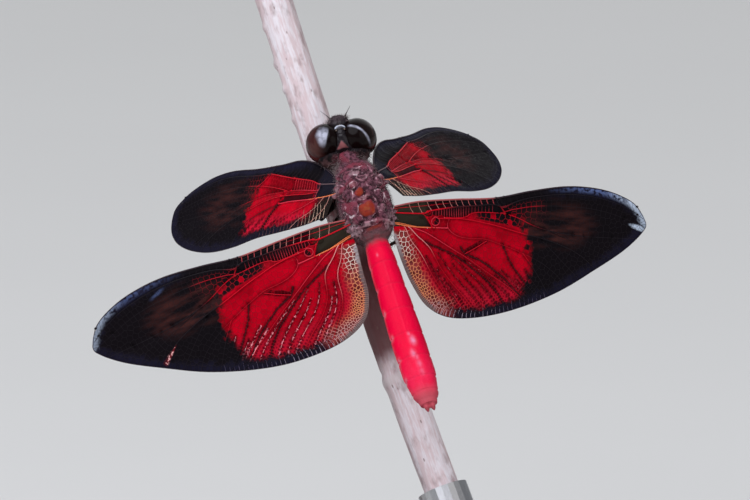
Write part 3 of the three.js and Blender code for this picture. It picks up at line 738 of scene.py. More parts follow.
class Wing:
    """The plan of one wing: its outline, its veins, its cells and the height of its surface."""

    def __init__(self, name):
        self.name = name
        self.pair = pair_of(name)
        self.plan = PLANS[self.pair]
        self.lobe, self.side = WINGS[name]["lobe"], WINGS[name]["side"]
        self.random = np.random.default_rng(sorted(WINGS).index(name) + 11)
        inner = []
        if self.pair == "hind":
            inner = [(u - self.lobe * share, v) for (u, v), share in zip(INNER_LOBE, LOBE_SHARE)]
            inner.append(INNER_ROOT)
        front, tip, rear = (self.plan[key] for key in ("front", "tip", "rear"))
        self.outline = through([*front, tip, *rear, *inner], EDGE_STEP)
        self.border = np.vstack([self.outline, through([self.outline[-1], self.outline[0]], EDGE_STEP)])
        self.front_edge = through([*front, tip], EDGE_STEP)
        self.inner_edge = through([*rear[-1:], *inner], EDGE_STEP) if inner else np.full((1, 2), FAR_OFF)
        self.lines = {"front": self.front_edge}
        self.kinds = {}
        for vein, (kind, radius, height, points) in self.plan["veins"].items():
            self.lines[vein] = self.spread(through(points))
            self.kinds[vein] = (kind, radius, height)
        for first, second, start, count in self.plan["fans"]:
            self.fan(first, second, start, count)
        self.main = [vein for vein in self.lines if vein != "front"]
        self.shaded = np.vstack([self.lines[vein] for vein in SHADED_VEINS[self.pair]])
        self.rays = np.vstack([self.lines[vein] for vein in self.main if self.kinds[vein][0] == "ray"])
        self.samples = np.vstack([self.lines[vein] for vein in self.main])
        self.heights = np.concatenate([np.full(len(self.lines[vein]), self.kinds[vein][2])
                                       for vein in self.main])

    def spread(self, line):
        """Moves a line with the hindwing's inner lobe."""
        share = ramp(-line[:, 1], 2, 6.5) * (1 - ramp(line[:, 0], 3.6, 8.8))
        return line - np.stack([self.lobe * share, 0 * share], axis=1)

    def fan(self, first, second, start, count):
        """Fine veins spread evenly between two main veins."""
        a, b = (along(self.lines[vein], FAN_POINTS) for vein in (first, second))
        for k in range(count):
            share = (k + 1) / (count + 1)
            places = np.linspace(start + 0.12 * (k % 2), FAN_END, 40)
            line = at_places(a * (1 - share) + b * share, np.linspace(0, 1, FAN_POINTS), places)
            vein = f"{first}_{second}_{k}"
            self.lines[vein] = line
            self.kinds[vein] = ("ray", 0.6, 0.04 * (-1) ** k)

    def cell_size(self, points):
        """How wide the cells are."""
        u, v = points[:, 0], points[:, 1]
        rim = nearest(points, self.outline[::2])
        shaded = ramp(nearest(points, self.shaded), 0.25, 0.6)
        if self.pair == "hind":
            wide = 0.5 - 0.2 * ramp(-v, 3, 6.5) * (1 - ramp(u, 8, 15))
            wide -= 0.14 * (1 - ramp(u, 2.2, 5)) * ramp(-v, 0.8, 2)
        else:
            wide = 0.46 - 0.12 * (1 - ramp(u, 2, 6))
        wide = np.minimum(wide, 0.34 + 0.25 * np.clip(rim - 0.5, 0, 1))
        return wide - 0.2 * (1 - shaded) * ramp(wide, 0.3, 0.42)

    def in_ladders(self, points):
        """Which points lie in the narrow fields."""
        u, v = points.T
        found = np.zeros(len(points), bool)
        for ladder in self.plan["ladders"]:
            top, bottom = (np.interp(u, *self.lines[side].T) for side in ladder["sides"])
            share = np.clip((top - v) / np.maximum(top - bottom, 0.01), 0, 1)
            first, last = (ladder["front"][k] + ladder["slant"][k] * share for k in (0, -1))
            found |= (u > first) & (u < last) & (v < top) & (v > bottom)
        return found

    def ladder_ends(self):
        """The lines that close the narrow fields."""
        for ladder in self.plan["ladders"]:
            front, rear = (self.lines[side] for side in ladder["sides"])
            for k in (0, -1):
                top = ladder["front"][k]
                foot = top + ladder["slant"][k]
                yield through([(top, np.interp(top, *front.T)), (foot, np.interp(foot, *rear.T))])

    def sow(self):
        """The cells' seeds: pairs along the veins and the outline, and the fields between them."""
        seeds, real = np.empty((0, 2)), np.empty(0, bool)

        def room(points, share):
            """Whether each point keeps its distance from the seeds so far."""
            return nearest(points, seeds) > share * self.cell_size(points)

        others = [self.lines[vein] for vein in self.main if vein != "subcosta"]
        for line in (self.border, *self.ladder_ends(), *others):
            rim = line is self.border
            width = self.cell_size((line[1:] + line[:-1]) / 2)
            if rim:
                width = np.minimum(width, 0.33)
            run = np.r_[0, np.cumsum(steps_of(line) / width)]
            at = np.interp(np.arange(int(run[-1])) + 0.5, run, np.arange(len(line)))
            low = np.minimum(at.astype(int), len(line) - 2)
            way = line[low + 1] - line[low]
            spot = line[low] + way * (at - low)[:, None]
            side = unit(way)[:, ::-1] * (-1, 1) * (RIM_DEPTH if rim else 0.42 * width[low][:, None])
            pair = [spot + side, spot - side]
            keep = room(pair[0], PAIRS_APART) & room(pair[1], PAIRS_APART)
            narrow = [self.in_ladders(points) for points in pair]
            if rim:
                keep &= ~narrow[0] & ~narrow[1]
            else:
                deep = nearest(spot, self.border) > 1.1 * RIM_DEPTH
                keep &= inside(spot, self.outline) & (deep | narrow[0] | narrow[1])
            for points in pair:
                seeds = np.vstack([seeds, points[keep]])
                real = np.r_[real, inside(points[keep], self.outline)]
        fixed = len(seeds)
        tries = self.random.uniform(self.outline.min(axis=0), self.outline.max(axis=0), (TRIES, 2))
        tries = tries[inside(tries, self.outline) & ~self.in_ladders(tries)]
        tries = tries[nearest(tries, self.border) > 1.4 * RIM_DEPTH]
        tries = tries[room(tries, FIELDS_APART)]
        taken = np.empty((0, 2))
        for point, width in zip(tries, self.cell_size(tries)):
            if ((taken - point) ** 2).sum(axis=1).min(initial=9) > (SEEDS_APART * width) ** 2:
                taken = np.vstack([taken, point])
        seeds = np.vstack([seeds, taken])
        real = np.r_[real, np.ones(len(taken), bool)] & ~self.in_ladders(seeds)
        corners, cells = self.grow(seeds, real & (np.arange(len(seeds)) >= fixed))
        for seed, cell in cells.items():
            seeds[seed] = corners[cell].mean(axis=0)
        return seeds, real

    def grow(self, seeds, real):
        """The corners of all cells, and the corners of each real cell in order."""
        found = delaunay_2d_cdt([Vector(seed) for seed in seeds], [], [], 0, 1e-7)
        origin = [ids[0] for ids in found[3]]
        triangles = np.array([[origin[k] for k in face] for face in found[2]])
        a, b, c = (seeds[triangles[:, k]] for k in range(3))
        b, c = b - a, c - a
        twice = 2 * (b[:, 0] * c[:, 1] - b[:, 1] * c[:, 0])
        bb, cc = (b ** 2).sum(axis=1), (c ** 2).sum(axis=1)
        corners = a + np.stack([c[:, 1] * bb - b[:, 1] * cc, b[:, 0] * cc - c[:, 0] * bb],
                               axis=1) / twice[:, None]
        for k in np.flatnonzero(~inside(corners, self.outline)):
            gaps = squares(corners[k:k + 1], self.border)[0]
            if gaps.min() > SNAP:
                corners[k] = self.border[gaps.argmin()]
        around = {}
        for index, triangle in enumerate(triangles):
            for seed in triangle:
                around.setdefault(int(seed), []).append(index)
        cells = {}
        for seed in np.flatnonzero(real):
            ids = around.get(int(seed), [])
            if len(ids) > 2:
                way = corners[ids] - seeds[seed]
                cells[int(seed)] = [ids[k] for k in np.argsort(np.arctan2(way[:, 1], way[:, 0]))]
        return corners, cells

    def height(self, points):
        """The height of the pleated surface above the wing's plane."""
        lift = []
        for part in in_parts(points, 500):
            near = 1 / (squares(part, self.samples) + 0.004) ** 1.5
            lift.append((near * self.heights).sum(axis=1) / near.sum(axis=1))
        rim = nearest(points, self.outline[::2])
        return np.concatenate(lift) * ramp(rim, 0, 0.7) * self.side

    def lay_out(self):
        """Draws the wing: its cells, with their shade, and its fine veins."""
        seeds, real = self.sow()
        corners, cells = self.grow(seeds, real)
        self.cells, self.knots, owners = [], [], {}
        for seed, cell in cells.items():
            ring = self.pair == "hind" and np.hypot(*(seeds[seed] - RING_CELL)) < RING_REACH
            self.cells.append((corners[cell], float(ring)))
            for a, b in zip(cell, cell[1:] + cell[:1]):
                owners.setdefault((min(a, b), max(a, b)), []).append(seed)
        ends = corners[[edge for edge, sides in owners.items() if len(sides) == 2]]
        clear = nearest(ends.mean(axis=1), self.samples) > CLEAR
        long = np.linalg.norm(ends[:, 1] - ends[:, 0], axis=1) > SHORTEST
        self.fine = {"net": list(ends[clear & long]), "cream": [], "ladder": [], "dark": []}
        for ladder in self.plan["ladders"]:
            self.climb(ladder)

    def comb(self):
        """Fine parallel veins from the rear edge inwards."""
        first, last, apart, long, short = COMBS[self.pair]
        edge = rest_of(self.outline, self.plan["tip"])
        edge = edge[(edge[:, 0] > first) & (edge[:, 0] < last) & (edge[:, 1] < -2)]
        edge = along(edge, int(steps_of(edge).sum() / apart))
        lines = []
        for before, spot, after in zip(edge, edge[1:], edge[2:]):
            way = unit(after - before)
            inward = np.array((way[1], -way[0]))
            share = (spot[0] - first) / (last - first)
            reach = (long + (short - long) * share) * self.random.uniform(0.55, 1.15)
            lean = way * self.random.uniform(-0.12, 0.12) - way * 0.15
            lines.append(through([spot, spot + (inward + lean * 0.5) * reach * 0.5,
                                  spot + (inward + lean) * reach], 0.15))
        return lines

    def climb(self, ladder):
        """Draws one narrow field of cells."""
        front, rear = (self.lines[side] for side in ladder["sides"])

        def at(line, u):
            """The points of a line at some places along the wing."""
            return np.stack([u, np.interp(u, *line.T)], axis=1)

        tops = np.array(ladder["front"], float)
        feet = tops + ladder["slant"]
        rungs = [through([top, (top + foot) / 2, foot], 0.2)
                 for top, foot in zip(at(front, tops), at(rear, feet))]
        for k in range(len(tops) - 1):
            steps = max(int((tops[k + 1] - tops[k]) / 0.3), 1) + 1
            top = at(front, np.linspace(*tops[k:k + 2], steps))
            foot = at(rear, np.linspace(*feet[k:k + 2], steps))
            ring = np.vstack([foot, rungs[k + 1][-2:0:-1], top[::-1], rungs[k][1:-1]])
            self.cells.append((ring, ladder["shade"]))
        self.fine[ladder["kind"]] += rungs[1:-1]
        self.knots += [rung[k] + np.array([(-0.13, 0), (0, 0), (0.13, 0)])
                       for rung in (rungs[0], rungs[-1]) for k in (0, -1) if rung[k][0] > 1]


def membrane(wing):
    """The wing's membrane: every cell is a shallow pane around its own middle."""
    vertices, faces, edge, dark, chance, known = [], [], [], [], [], {}

    def corner(point):
        """The vertex that cells share at a point of the wing's plane."""
        key = (round(point[0], 3), round(point[1], 3))
        if key not in known:
            known[key] = len(vertices)
            vertices.append(point)
            edge.append(1)
        return known[key]

    middles = np.array([knot[1] for knot in wing.knots])
    middles = middles[nearest(middles, wing.border) > 0.45]
    discs = [(middle + circle(10) * 0.42, 0) for middle in middles]
    for cell, shade in wing.cells + discs:
        ring = [corner(point) for point in cell]
        ring = [here for here, after in zip(ring, ring[1:] + ring[:1]) if here != after]
        if len(ring) < 3:
            continue
        middle = len(vertices)
        vertices.append(np.mean([vertices[k] for k in ring], axis=0))
        edge.append(0)
        faces += [(middle, here, after) for here, after in zip(ring, ring[1:] + ring[:1])]
        dark += [shade] * 3 * len(ring)
        chance += [wing.random.random()] * 3 * len(ring)
    flat, edge = np.array(vertices), np.array(edge)
    lift = wing.height(flat) - PANE_DEPTH * (1 - edge) * wing.side
    lift[len(flat) - 11 * len(discs):] -= 0.006 * wing.side
    piece = shape(wing.name, np.c_[flat, lift], faces)
    store(piece, "edge", edge)
    store(piece, "dark", dark, "CORNER")
    store(piece, "chance", chance, "CORNER")
    modify(piece, "SOLIDIFY", thickness=sizes().membrane, offset=0, use_quality_normals=True)
    return piece


def tubes(name, runs, facets=1):
    """Round tubes along runs of points, each with its radius, made from a bevelled curve."""
    curve = bpy.data.curves.new(name, "CURVE")
    curve.dimensions = "3D"
    curve.bevel_depth = 1
    curve.bevel_resolution = facets - 1
    curve.use_fill_caps = True
    for points, radius in runs:
        spline = curve.splines.new("POLY")
        spline.points.add(len(points) - 1)
        spline.points.foreach_set("co", np.c_[points, np.ones(len(points))].ravel())
        spline.points.foreach_set("radius", np.broadcast_to(radius, len(points)).astype(float))
    piece = bpy.data.objects.new(name, curve)
    bpy.context.scene.collection.objects.link(piece)
    only(piece)
    bpy.ops.object.convert(target="MESH")
    return bpy.context.active_object


VEIN_KINDS = ("dark", "red", "coral", "pink", "orange", "cream", "ladder", "net", "edge",
              "comb", "ray")


def veins(wing):
    """All the wing's veins as one mesh of tubes, which keeps the kind of each."""
    main, cross = sizes().main_vein, sizes().cross_vein
    runs = {kind: [] for kind in VEIN_KINDS}

    def add(kind, line, radius):
        """Adds a vein on the wing's surface."""
        runs[kind].append((np.c_[line, wing.height(line)], radius))

    for vein in wing.main:
        kind, radius, _ = wing.kinds[vein]
        line = wing.lines[vein]
        line = line[inside(line, wing.outline) | (line[:, 0] < 0.4)]
        if len(line) > 1:
            add(kind, line, radius * main * (1 - 0.5 * ramp(line[:, 0], 9, 24)))
    for kind, lines in wing.fine.items():
        width = {"cream": 1.3, "ladder": 1.2}.get(kind, 1) * cross
        middles = np.array([line.mean(axis=0) for line in lines] or [(0, 0)])
        thick = 1 + 0.5 * (kind == "net") * (1 - ramp(nearest(middles, wing.inner_edge), 1, 2))
        for line, more in zip(lines, thick):
            add(kind, line, width * more)
    for line in wing.comb():
        add("comb", line, cross * np.linspace(1.35 if wing.pair == "fore" else 1.15, 0.7, len(line)))
    for knot in wing.knots:
        add("red" if knot[1, 0] < 11 else "dark", knot, np.array((0.05, 0.12, 0.05)))
    front = wing.front_edge
    add("edge", front, main * (1.5 - 0.8 * ramp(front[:, 0], 12, 25)))
    add("edge", rest_of(wing.outline, front[-1]), cross * 1.15)
    pieces = []
    for kind, group in runs.items():
        if group:
            piece = tubes(kind, group, 2 if kind in ("red", "edge", "orange") else 1)
            store(piece, "kind", np.full(len(piece.data.vertices), VEIN_KINDS.index(kind)))
            pieces.append(piece)
    return join(wing.name + "_veins", pieces)


def keep_place(piece, wing):
    """Keeps each point's place on the wing, and its distances to the outline, for the finish."""
    places = points_of(piece)
    store(piece, "wing", places)
    for key, line in (("rim", wing.outline), ("inner", wing.inner_edge), ("front", wing.front_edge),
                      ("shadow", wing.shaded), ("vein", wing.samples), ("ray", wing.rays)):
        store(piece, key, nearest(places[:, :2], line[::2]))


def wing_fields(finish, pair, uneven=0.5):
    """A place on a wing, and where each field of its pattern lies, from 0 to 1."""
    spots = finish.kept("wing", vector=True)
    u, v, _ = finish.parts(spots)
    rim = finish.kept("rim")
    wander = (finish.grain(spots, 1.3) - 0.5) * 1.6 + (finish.grain(spots, 6, 1) - 0.5) * 0.5
    wander = wander + (uneven - 0.5) * 0.9
    if pair == "hind":
        above = v - 0.62 + (u - 9.8) * 0.18
        ruby = (u + (v + 3.4).squared() * 0.085 + wander).fall(12.9, 13.9)
        ruby = ruby * (1 - (above + wander * 0.2).rise(0, 0.25) * u.rise(9.6, 9.9))
        ruby = ruby * (v - 0.45).fall(0, 0.25).most(u.fall(9.9, 10.6))
        ruby = ruby * (rim + wander * 0.35).rise(0.55, 1.3).most(u.fall(4.2, 6.5))
        lace = (finish.kept("inner") + wander * 0.35).fall(0.9, 2) * v.fall(-1.1, -0.75)
        lace = lace * (u + wander * 0.5).fall(4.6, 6.6)
        rows = above.rise(-0.95, -0.75) * u.rise(7.6, 8.6) * u.fall(12.4, 13)
        sheen = ((u - 15.8) * 0.23).squared() + (v + 0.5).squared() * 0.2
    else:
        ruby = (u + wander + v.fall(-4, -1.6) * 0.7 + v.rise(0.8, 2) * 0.9).fall(12.6, 13.6)
        ruby = ruby * u.rise(2.2, 3.4) * (v - 0.62 - u * 0.155).fall(-0.05, 0.12)
        ruby = ruby * (rim + wander * 0.3).rise(0.55, 1.05)
        lace = (u + v * 0.9).fall(0.4, 2) * v.fall(-0.5, -0.3)
        rows = 0
        sheen = ((u - 16.5) * 0.2).squared() + (v + 0.3).squared() * 0.16
    return u, v, rim, spots, wander, ruby, lace, rows, sheen.fall(0.1, 1.35)


def slanting(u, v, place, way):
    """How far along and across a slanting mark a place on the wing lies."""
    a, b = u - place[0], v - place[1]
    return a * way[0] + b * way[1], b * way[0] - a * way[1]


def wing_membrane_finish(pair, side):
    """The membrane: ruby inner field, amber lace, black outer half with brown sheen; painted margin sheen,
    reflections, glints.
    """
    finish = Finish(f"wing_membrane_{pair}")
    edge, dark, chance, shadow, vein, ray, inner, front = (finish.kept(key) for key in (
        "edge", "dark", "chance", "shadow", "vein", "ray", "inner", "front"))
    u, v, rim, spots, wander, ruby, lace, rows, sheen = wing_fields(finish, pair, chance)
    hind = pair == "hind"
    loose = wander * 0.06
    small = (rim - 0.7).fall(0.4, 2.8) * (v.fall(-4.2, -2.6) if hind else v.fall(-2.2, -1.2))
    deep = (edge.fall(0.3, 0.8) * (small * 0.7 + 0.06)).most(dark).most(small * 0.15)
    shade = (shadow + loose).fall(0.07, 0.24).most((vein + loose).fall(0.06, 0.32) * 0.6)
    ticks = finish.grain(spots, 4.6, 1)
    red = finish.layers(
        paint("ruby"), (small * 0.6, (0.62, 0.012, 0.045)), (deep, paint("wine")),
        (dark.rise(0.9, 1), paint("soot")), (shade * 0.9, paint("wine", 0.35)),
        (ray.fall(0.08, 0.24) * ticks.fall(0.4, 0.52) * 0.8, paint("wine", 0.3)))
    if hind:
        run, over = slanting(u, v, (7.05, -2.95), (0.89, 0.455))
        over = over + loose
        patch = over.rise(0, 0.06) * over.fall(0.3, 0.42) * run.rise(-0.1, 0.15) * run.fall(1.8, 2.2)
        red = finish.mix(patch * chance.rise(0.1, 0.25) * 0.85, red, paint("wine", 0.2))
    else:
        deep = v.rise(0.42, 0.6) * u.fall(10.5, 12.5) * 0.55
        red = finish.shaded(red, 1 - deep.most((shadow + loose).fall(0.15, 0.5) * 0.6))
    broad = finish.grain(spots, 0.45, 1).rise(0.3, 0.7)
    red = finish.shaded(red, 0.7 + chance * 0.2 + broad * 0.35)
    streaks = finish.grain(finish.stretch(spots, 0.3, 1.4, 1), 1, 3).rise(0.36, 0.7)
    # painted sheen: blue-violet along the wings' margins
    sheen_margin = (rim + wander * 0.4).fall(0, 1.1) * u.rise(3, 8)
    if hind:
        sheen_margin = sheen_margin * v.fall(0, 1).most(u.rise(14, 18))
        red = finish.mix(rows * chance.rise(0.08, 0.2), red, paint("soot"))
    black = finish.layers(paint("soot"), (sheen * streaks * (0.95 if hind else 0.75), paint("umber")),
                          (sheen_margin * 0.7, paint("navy_sheen")))
    deepest, glow, cell = (((0.07, 0.016, 0.014), (0.3, 0.06, 0.055), (0.028, 0.023, 0.016)) if hind else
                           ((0.012, 0.008, 0.007), (0.015, 0.01, 0.008), (0.011, 0.01, 0.017)))
    hollow = finish.mix(finish.grain(spots, 1.6).rise(0.3, 0.7), deepest, glow)
    tone = finish.layers(black, (ruby, red), (lace * 0.9, hollow),
                         (u.fall(2.9, 3.6) * v.rise(-0.62, -0.5), cell))
    if hind:
        band = (inner + loose * 3).fall(0.2, 0.45) * v.fall(-1, -0.6) * u.fall(3.6, 5)
        # painted glints: pink sparkles along the rays, strong on the left hindwing
        painted_glints = ray.fall(0.04, 0.15) * ticks.rise(0.53, 0.6) * v.fall(-4.6, -2.6) * rim.rise(0.05, 0.3)
        painted_glints = painted_glints * (u + v * 0.5).rise(1, 2) * u.fall(12, 13.5) * (0.85 if side < 0 else 0.05)
        tone = finish.layers(tone, (painted_glints, (1, 0.32, 0.4)), (
            band, finish.mix(v.rise(-3.6, -2), (0.17, 0.12, 0.12), (0.36, 0.32, 0.33))))
        # painted reflections: pale blue-white along the front edge near the tip, stronger on the right
        # hindwing, which also gets a pale patch at its tip
        glint = finish.grain(spots, 3, 1)
        pale = finish.mix(u.rise(20.5, 24), (0.1, 0.14, 0.3), (0.6, 0.7, 0.85))
        painted_edge_reflection = (front + glint * 0.5).fall(0.45, 0.95) * (u + glint * 3).rise(16.5, 21.5)
        painted_edge_reflection = painted_edge_reflection * glint.rise(0.35, 0.6).most(u.rise(22, 24) * 0.8) * (0.85 if side > 0 else 0.4)
        patch = ((u - 24.3) * 0.85).squared() + (v + 0.75 + (u - 24.2) * 0.3).squared() * 10
        patch = (patch + glint * 0.9).fall(0.5, 1.4) * 0.8
        if side < 0:
            # painted reflection: a pale streak near the left hindwing's front edge
            run, over = slanting(u, v, (16.9, 2), (0.95, -0.31))
            patch = (over + loose).size().fall(0, 0.22) * run.rise(0, 0.9) * run.fall(1.1, 2.1) * 0.5
            # painted glints: a streak of bright pink sparkles on the left hindwing
            run, over = slanting(u, v, (18, -2.9), (0.79, -0.61))
            spark = over.size().fall(0.02, run * 0.11 + 0.07) * run.rise(0, 0.6) * run.fall(2, 2.3)
            bright = spark * finish.grain(spots, 5, 1).rise(0.52, 0.6)
            tone = finish.layers(tone, (spark * 0.5, (0.3, 0.02, 0.03)), (bright, (1, 0.5, 0.48)))
        tone = finish.mix(painted_edge_reflection.most(patch), tone, pale)
    ripple = finish.grain(spots, 9, 3) + edge * 0.5
    return finish.surface(tone, 0.42 + chance * 0.14, Normal=finish.bump(ripple, 0.03, 0.6),
                          Specular_IOR_Level=0.02)


def wing_vein_finish(pair, side):
    """The veins: each kind has its colour, all darken in the black outer half, and the rays carry painted
    glints.
    """
    finish = Finish(f"wing_veins_{pair}")
    u, v, rim, spots, wander, ruby, lace, rows, _ = wing_fields(finish, pair)
    hind = pair == "hind"
    kind = finish.kept("kind")
    tint = {name: (kind - number).size().fall(0.2, 0.4) for number, name in enumerate(VEIN_KINDS)}
    lacy = finish.mix((v + wander * 0.8).rise(-4, -2.2), paint("amber"), (0.8, 0.66, 0.58))
    lacy = finish.mix(v.fall(-7.4, -6.4) * 0.8, lacy, (0.5, 0.3, 0.31))
    net = finish.mix(rim.fall(1.2, 3), paint("wine", 1.4), paint("ruby"))
    # painted glints: pink dashes along the rays, bright on the left wings
    start = 0.62 if side > 0 else 0.47
    painted_glint_dashes = finish.grain(spots, 3.6, 1).rise(start, start + 0.07) * v.fall(-4.6, -2.8)
    painted_glint_tone = (0.5, 0.08, 0.1) if side > 0 else (1, 0.4, 0.43)
    ray = finish.mix(painted_glint_dashes * rim.rise(0.3, 0.7), paint("wine", 0.6), painted_glint_tone)
    tone = finish.layers(
        net, (rows * 0.9, paint("ruby", 1.1)), (lace, lacy if hind else (0.02, 0.012, 0.01)),
        (tint["red"], paint("ruby", 1.2)), (tint["ray"], ray), (tint["coral"], paint("coral")),
        (tint["pink"], (0.78, 0.28, 0.27)), (tint["orange"], (0.8, 0.2, 0.07)),
        (tint["cream"], paint("cream")), (tint["ladder"], (0.6, 0.03, 0.05)),
        (tint["dark"], (0.02, 0.008, 0.01)), (tint["cream"] * u.rise(4, 9.5) * 0.8, paint("coral")),
        (tint["pink"] * (u - v * 0.5).rise(3.4, 6), paint("ruby")),
        (tint["coral"] * u.rise(3.5, 8) * 0.9, paint("ruby", 0.9)))
    if not hind:
        tone = finish.mix(tint["red"] * u.fall(2.4, 3.4), tone, (0.13, 0.08, 0.09))
    tone = finish.mix(tint["orange"] * u.rise(2.6, 4.6), tone, paint("coral"))
    reach = (u + wander * 1.5).fall(13.2, 15.4) * v.rise(-1.2, -0.2) * rim.rise(0.6, 1.2)
    keep = ruby.most(lace).most(tint["cream"]).most(u.fall(3.6, 4.4)).most(
        tint["orange"] * u.fall(8, 10)).most(reach * 0.75)
    if hind:
        tooth = finish.mix((u + wander * 2).rise(4, 13), (0.5, 0.42, 0.5), (0.08, 0.065, 0.11))
    else:
        tooth = finish.mix((u + wander).rise(1.5, 5), (0.7, 0.47, 0.34), (0.12, 0.05, 0.05))
    tone = finish.layers((0.009, 0.006, 0.009), (keep, tone), (tint["comb"], tooth),
                         (tint["edge"], (0.03, 0.018, 0.024)))
    if hind:
        costa = tint["edge"] * u.fall(9, 10.5) * v.rise(0.6, 0.9)
        band = finish.kept("inner").fall(0.25, 0.4) * v.fall(-1.2, -0.8) * u.fall(3.6, 5)
        tone = finish.layers(tone, (costa * 0.8, (0.42, 0.1, 0.1)), (band * 0.9, (0.2, 0.145, 0.14)))
    return finish.surface(tone, 0.4, Specular_IOR_Level=0.12)


def build_wings():
    """All four wings."""
    for name in WINGS:
        wing = Wing(name)
        wing.lay_out()
        for make, finish, nodes in ((membrane, wing_membrane_finish, [name]),
                                    (veins, wing_vein_finish, [])):
            piece = make(wing)
            keep_place(piece, wing)
            settle(piece, finish(wing.pair, wing.side), ANIMAL @ wing_place(name), nodes)


# ---- stage


# The camera: degrees above the horizon, metres from its target, and its lens in millimetres.
CAMERA_RISE = 8
CAMERA_AWAY = 2
CAMERA_LENS = 1113.5
CAMERA_TARGET = (-1.635, -2.778, 33.861)
LAMPS_TARGET = (0, 0, 35)
# Soft lamps: where each is and its width, in metres, its power and its colour.
LAMPS = {
    "key": ((-0.24, -0.36, 0.62), 1.1, 8.5, (0.92, 0.93, 1)),
    "fill": ((0.8, -0.6, 0.3), 0.9, 1.6, (1, 0.97, 0.95)),
    "back": ((0.1, 0.8, 0.6), 1.3, 2.5, (1, 1, 1)),
}


def aim(name, data, place, way):
    """Adds a lamp or a camera that looks back along a way."""
    item = bpy.data.objects.new(name, data)
    item.location = place
    item.rotation_euler = way.to_track_quat("Z", "Y").to_euler()
    bpy.context.scene.collection.objects.link(item)
    return item


def build_stage():
    """The floor, the soft lights and the camera."""
    scene = bpy.context.scene
    scene.view_settings.view_transform = "Standard"
    scene.view_settings.look = "None"
    bpy.ops.object.select_all(action="DESELECT")
    bpy.ops.mesh.primitive_plane_add(size=6)
    floor = added("floor")
    finish = Finish("floor")
    tone = finish.mix(finish.grain(finish.places(), 0.02, 3), paint("floor", 0.97), paint("floor"))
    floor.data.materials.append(finish.surface(tone, 0.8))
    scene.world = bpy.data.worlds.new("soft_room")
    scene.world.use_nodes = True
    sky = scene.world.node_tree.nodes["Background"].inputs
    sky["Color"].default_value = (0.9, 0.93, 1, 1)
    sky["Strength"].default_value = 0.26
    for name, (place, width, power, tone) in LAMPS.items():
        light = bpy.data.lights.new(name, "AREA")
        light.shape = "DISK"
        light.size = width
        light.energy = power
        light.color = tone
        aim(name, light, place, Vector(place) - Vector(LAMPS_TARGET) * MM)
    rise = radians(CAMERA_RISE)
    away = Vector((0, -cos(rise), sin(rise)))
    lens = bpy.data.cameras.new("camera")
    lens.sensor_width = 36
    lens.lens = CAMERA_LENS
    scene.camera = aim("camera", lens, Vector(CAMERA_TARGET) * MM + away * CAMERA_AWAY, away)


# ---- body
# Half width, height above and depth below the centre line, along the abdomen.
ABDOMEN_FORM = np.array([(0, 1.08, 1.3, 1.3), (0.09, 1.2, 1.32, 1.35), (0.22, 1.24, 1.12, 1.15),
                         (0.4, 1.36, 1.05, 0.95), (0.6, 1.44, 1, 0.85), (0.8, 1.42, 0.95, 0.8),
                         (0.92, 1.15, 0.8, 0.68), (1, 0.75, 0.55, 0.48)])
CERCUS_APART = 0.27
CERCUS_LENGTH = 0.7
CERCUS_WIDTHS = (0.2, 0.23, 0.25, 0.26, 0.25, 0.22, 0.16, 0.06)
SUTURES = (1.3, -0.55, -2.3, -3.7)

# Plates on the thorax's back: where each is, its half width and half length, its turn, how far
# it rises, and its tone.
PLATES = [
    (-0.37, -1.08, 0.38, 0.34, 20, 0.15, "rust"), (-0.1, -2.69, 0.72, 0.66, 8, 0.17, "rust"),
    (-0.05, -1.6, 0.5, 0.15, 6, 0.1, "pale"), (-0.72, -0.3, 0.32, 0.28, 20, 0.12, "pale"),
    (0.94, 0.3, 0.34, 0.3, 25, 0.14, "blush"), (0.14, 0.1, 0.42, 0.26, 0, 0.1, "blush"),
    (-0.15, 0.8, 0.5, 0.34, 10, 0.1, "pale"), (0.72, 0.95, 0.42, 0.3, -25, 0.1, "flush"),
    (-0.95, 0.75, 0.4, 0.34, 30, 0.1, "flush"), (0.54, -1.17, 0.4, 0.42, 0, 0.16, "mauve"),
    (-1.25, -0.95, 0.36, 0.42, 15, 0.16, "mauve"), (-1.8, -0.2, 0.3, 0.5, 20, 0.18, "flush"),
    (1.75, -0.25, 0.3, 0.5, -20, 0.18, "mauve"), (-1.3, -2.2, 0.5, 0.62, 8, 0.2, "flush"),
    (1.12, -1.75, 0.46, 0.6, -10, 0.2, "mauve"), (-1.95, -1.6, 0.3, 0.5, 10, 0.2, "mauve"),
    (1.95, -1.7, 0.3, 0.5, -10, 0.2, "mauve"), (1.15, -2.8, 0.32, 0.3, 0, 0.14, "blush"),
    (-1.85, -2.85, 0.32, 0.36, 0, 0.2, "flush"), (1.85, -2.75, 0.32, 0.36, 0, 0.2, "mauve"),
    (-1.2, -3.3, 0.42, 0.36, -20, 0.18, "flush"), (1.3, -3.5, 0.46, 0.42, 15, 0.16, "mauve"),
    (-0.02, -3.88, 1.08, 0.2, 0, 0.34, "pale"), (-0.02, -4.3, 0.85, 0.17, 0, 0.04, "rust"),
    (-1.35, -4.2, 0.34, 0.4, 20, 0.12, "pale"), (1.35, -4.3, 0.3, 0.42, -20, 0.12, "pale")
]
PLATE_RIM = 0.055
PLATE_GROOVE = 0.13
TONES = ("rust", "pale", "blush", "flush", "mauve")

# Painted lilac highlights on the abdomen: how far along, how far aside, their half length and strength.
PAINTED_REFLECTIONS = [(9.7, 0.15, 0.22, 0.5), (10.4, 0.33, 0.42, 1), (11.7, 0, 0.4, 0.7), (12.1, 0.2, 0.3, 0.5),
         (12.8, 0.24, 0.4, 0.5), (13.6, 0.26, 0.4, 0.35), (1.6, -0.35, 0.16, 0.5)]

# Small hard plates that join each wing's root to the thorax: along the wing and across it.
HINGE_PLATES = {"fore": [(-0.2, 0.7, 0.45, 0.26), (-0.1, 0.15, 0.42, 0.26), (-0.2, -0.45, 0.42, 0.26)],
                "hind": [(-0.2, 0.75, 0.45, 0.26), (-0.1, 0.2, 0.42, 0.26), (-0.2, -0.35, 0.42, 0.26)]}


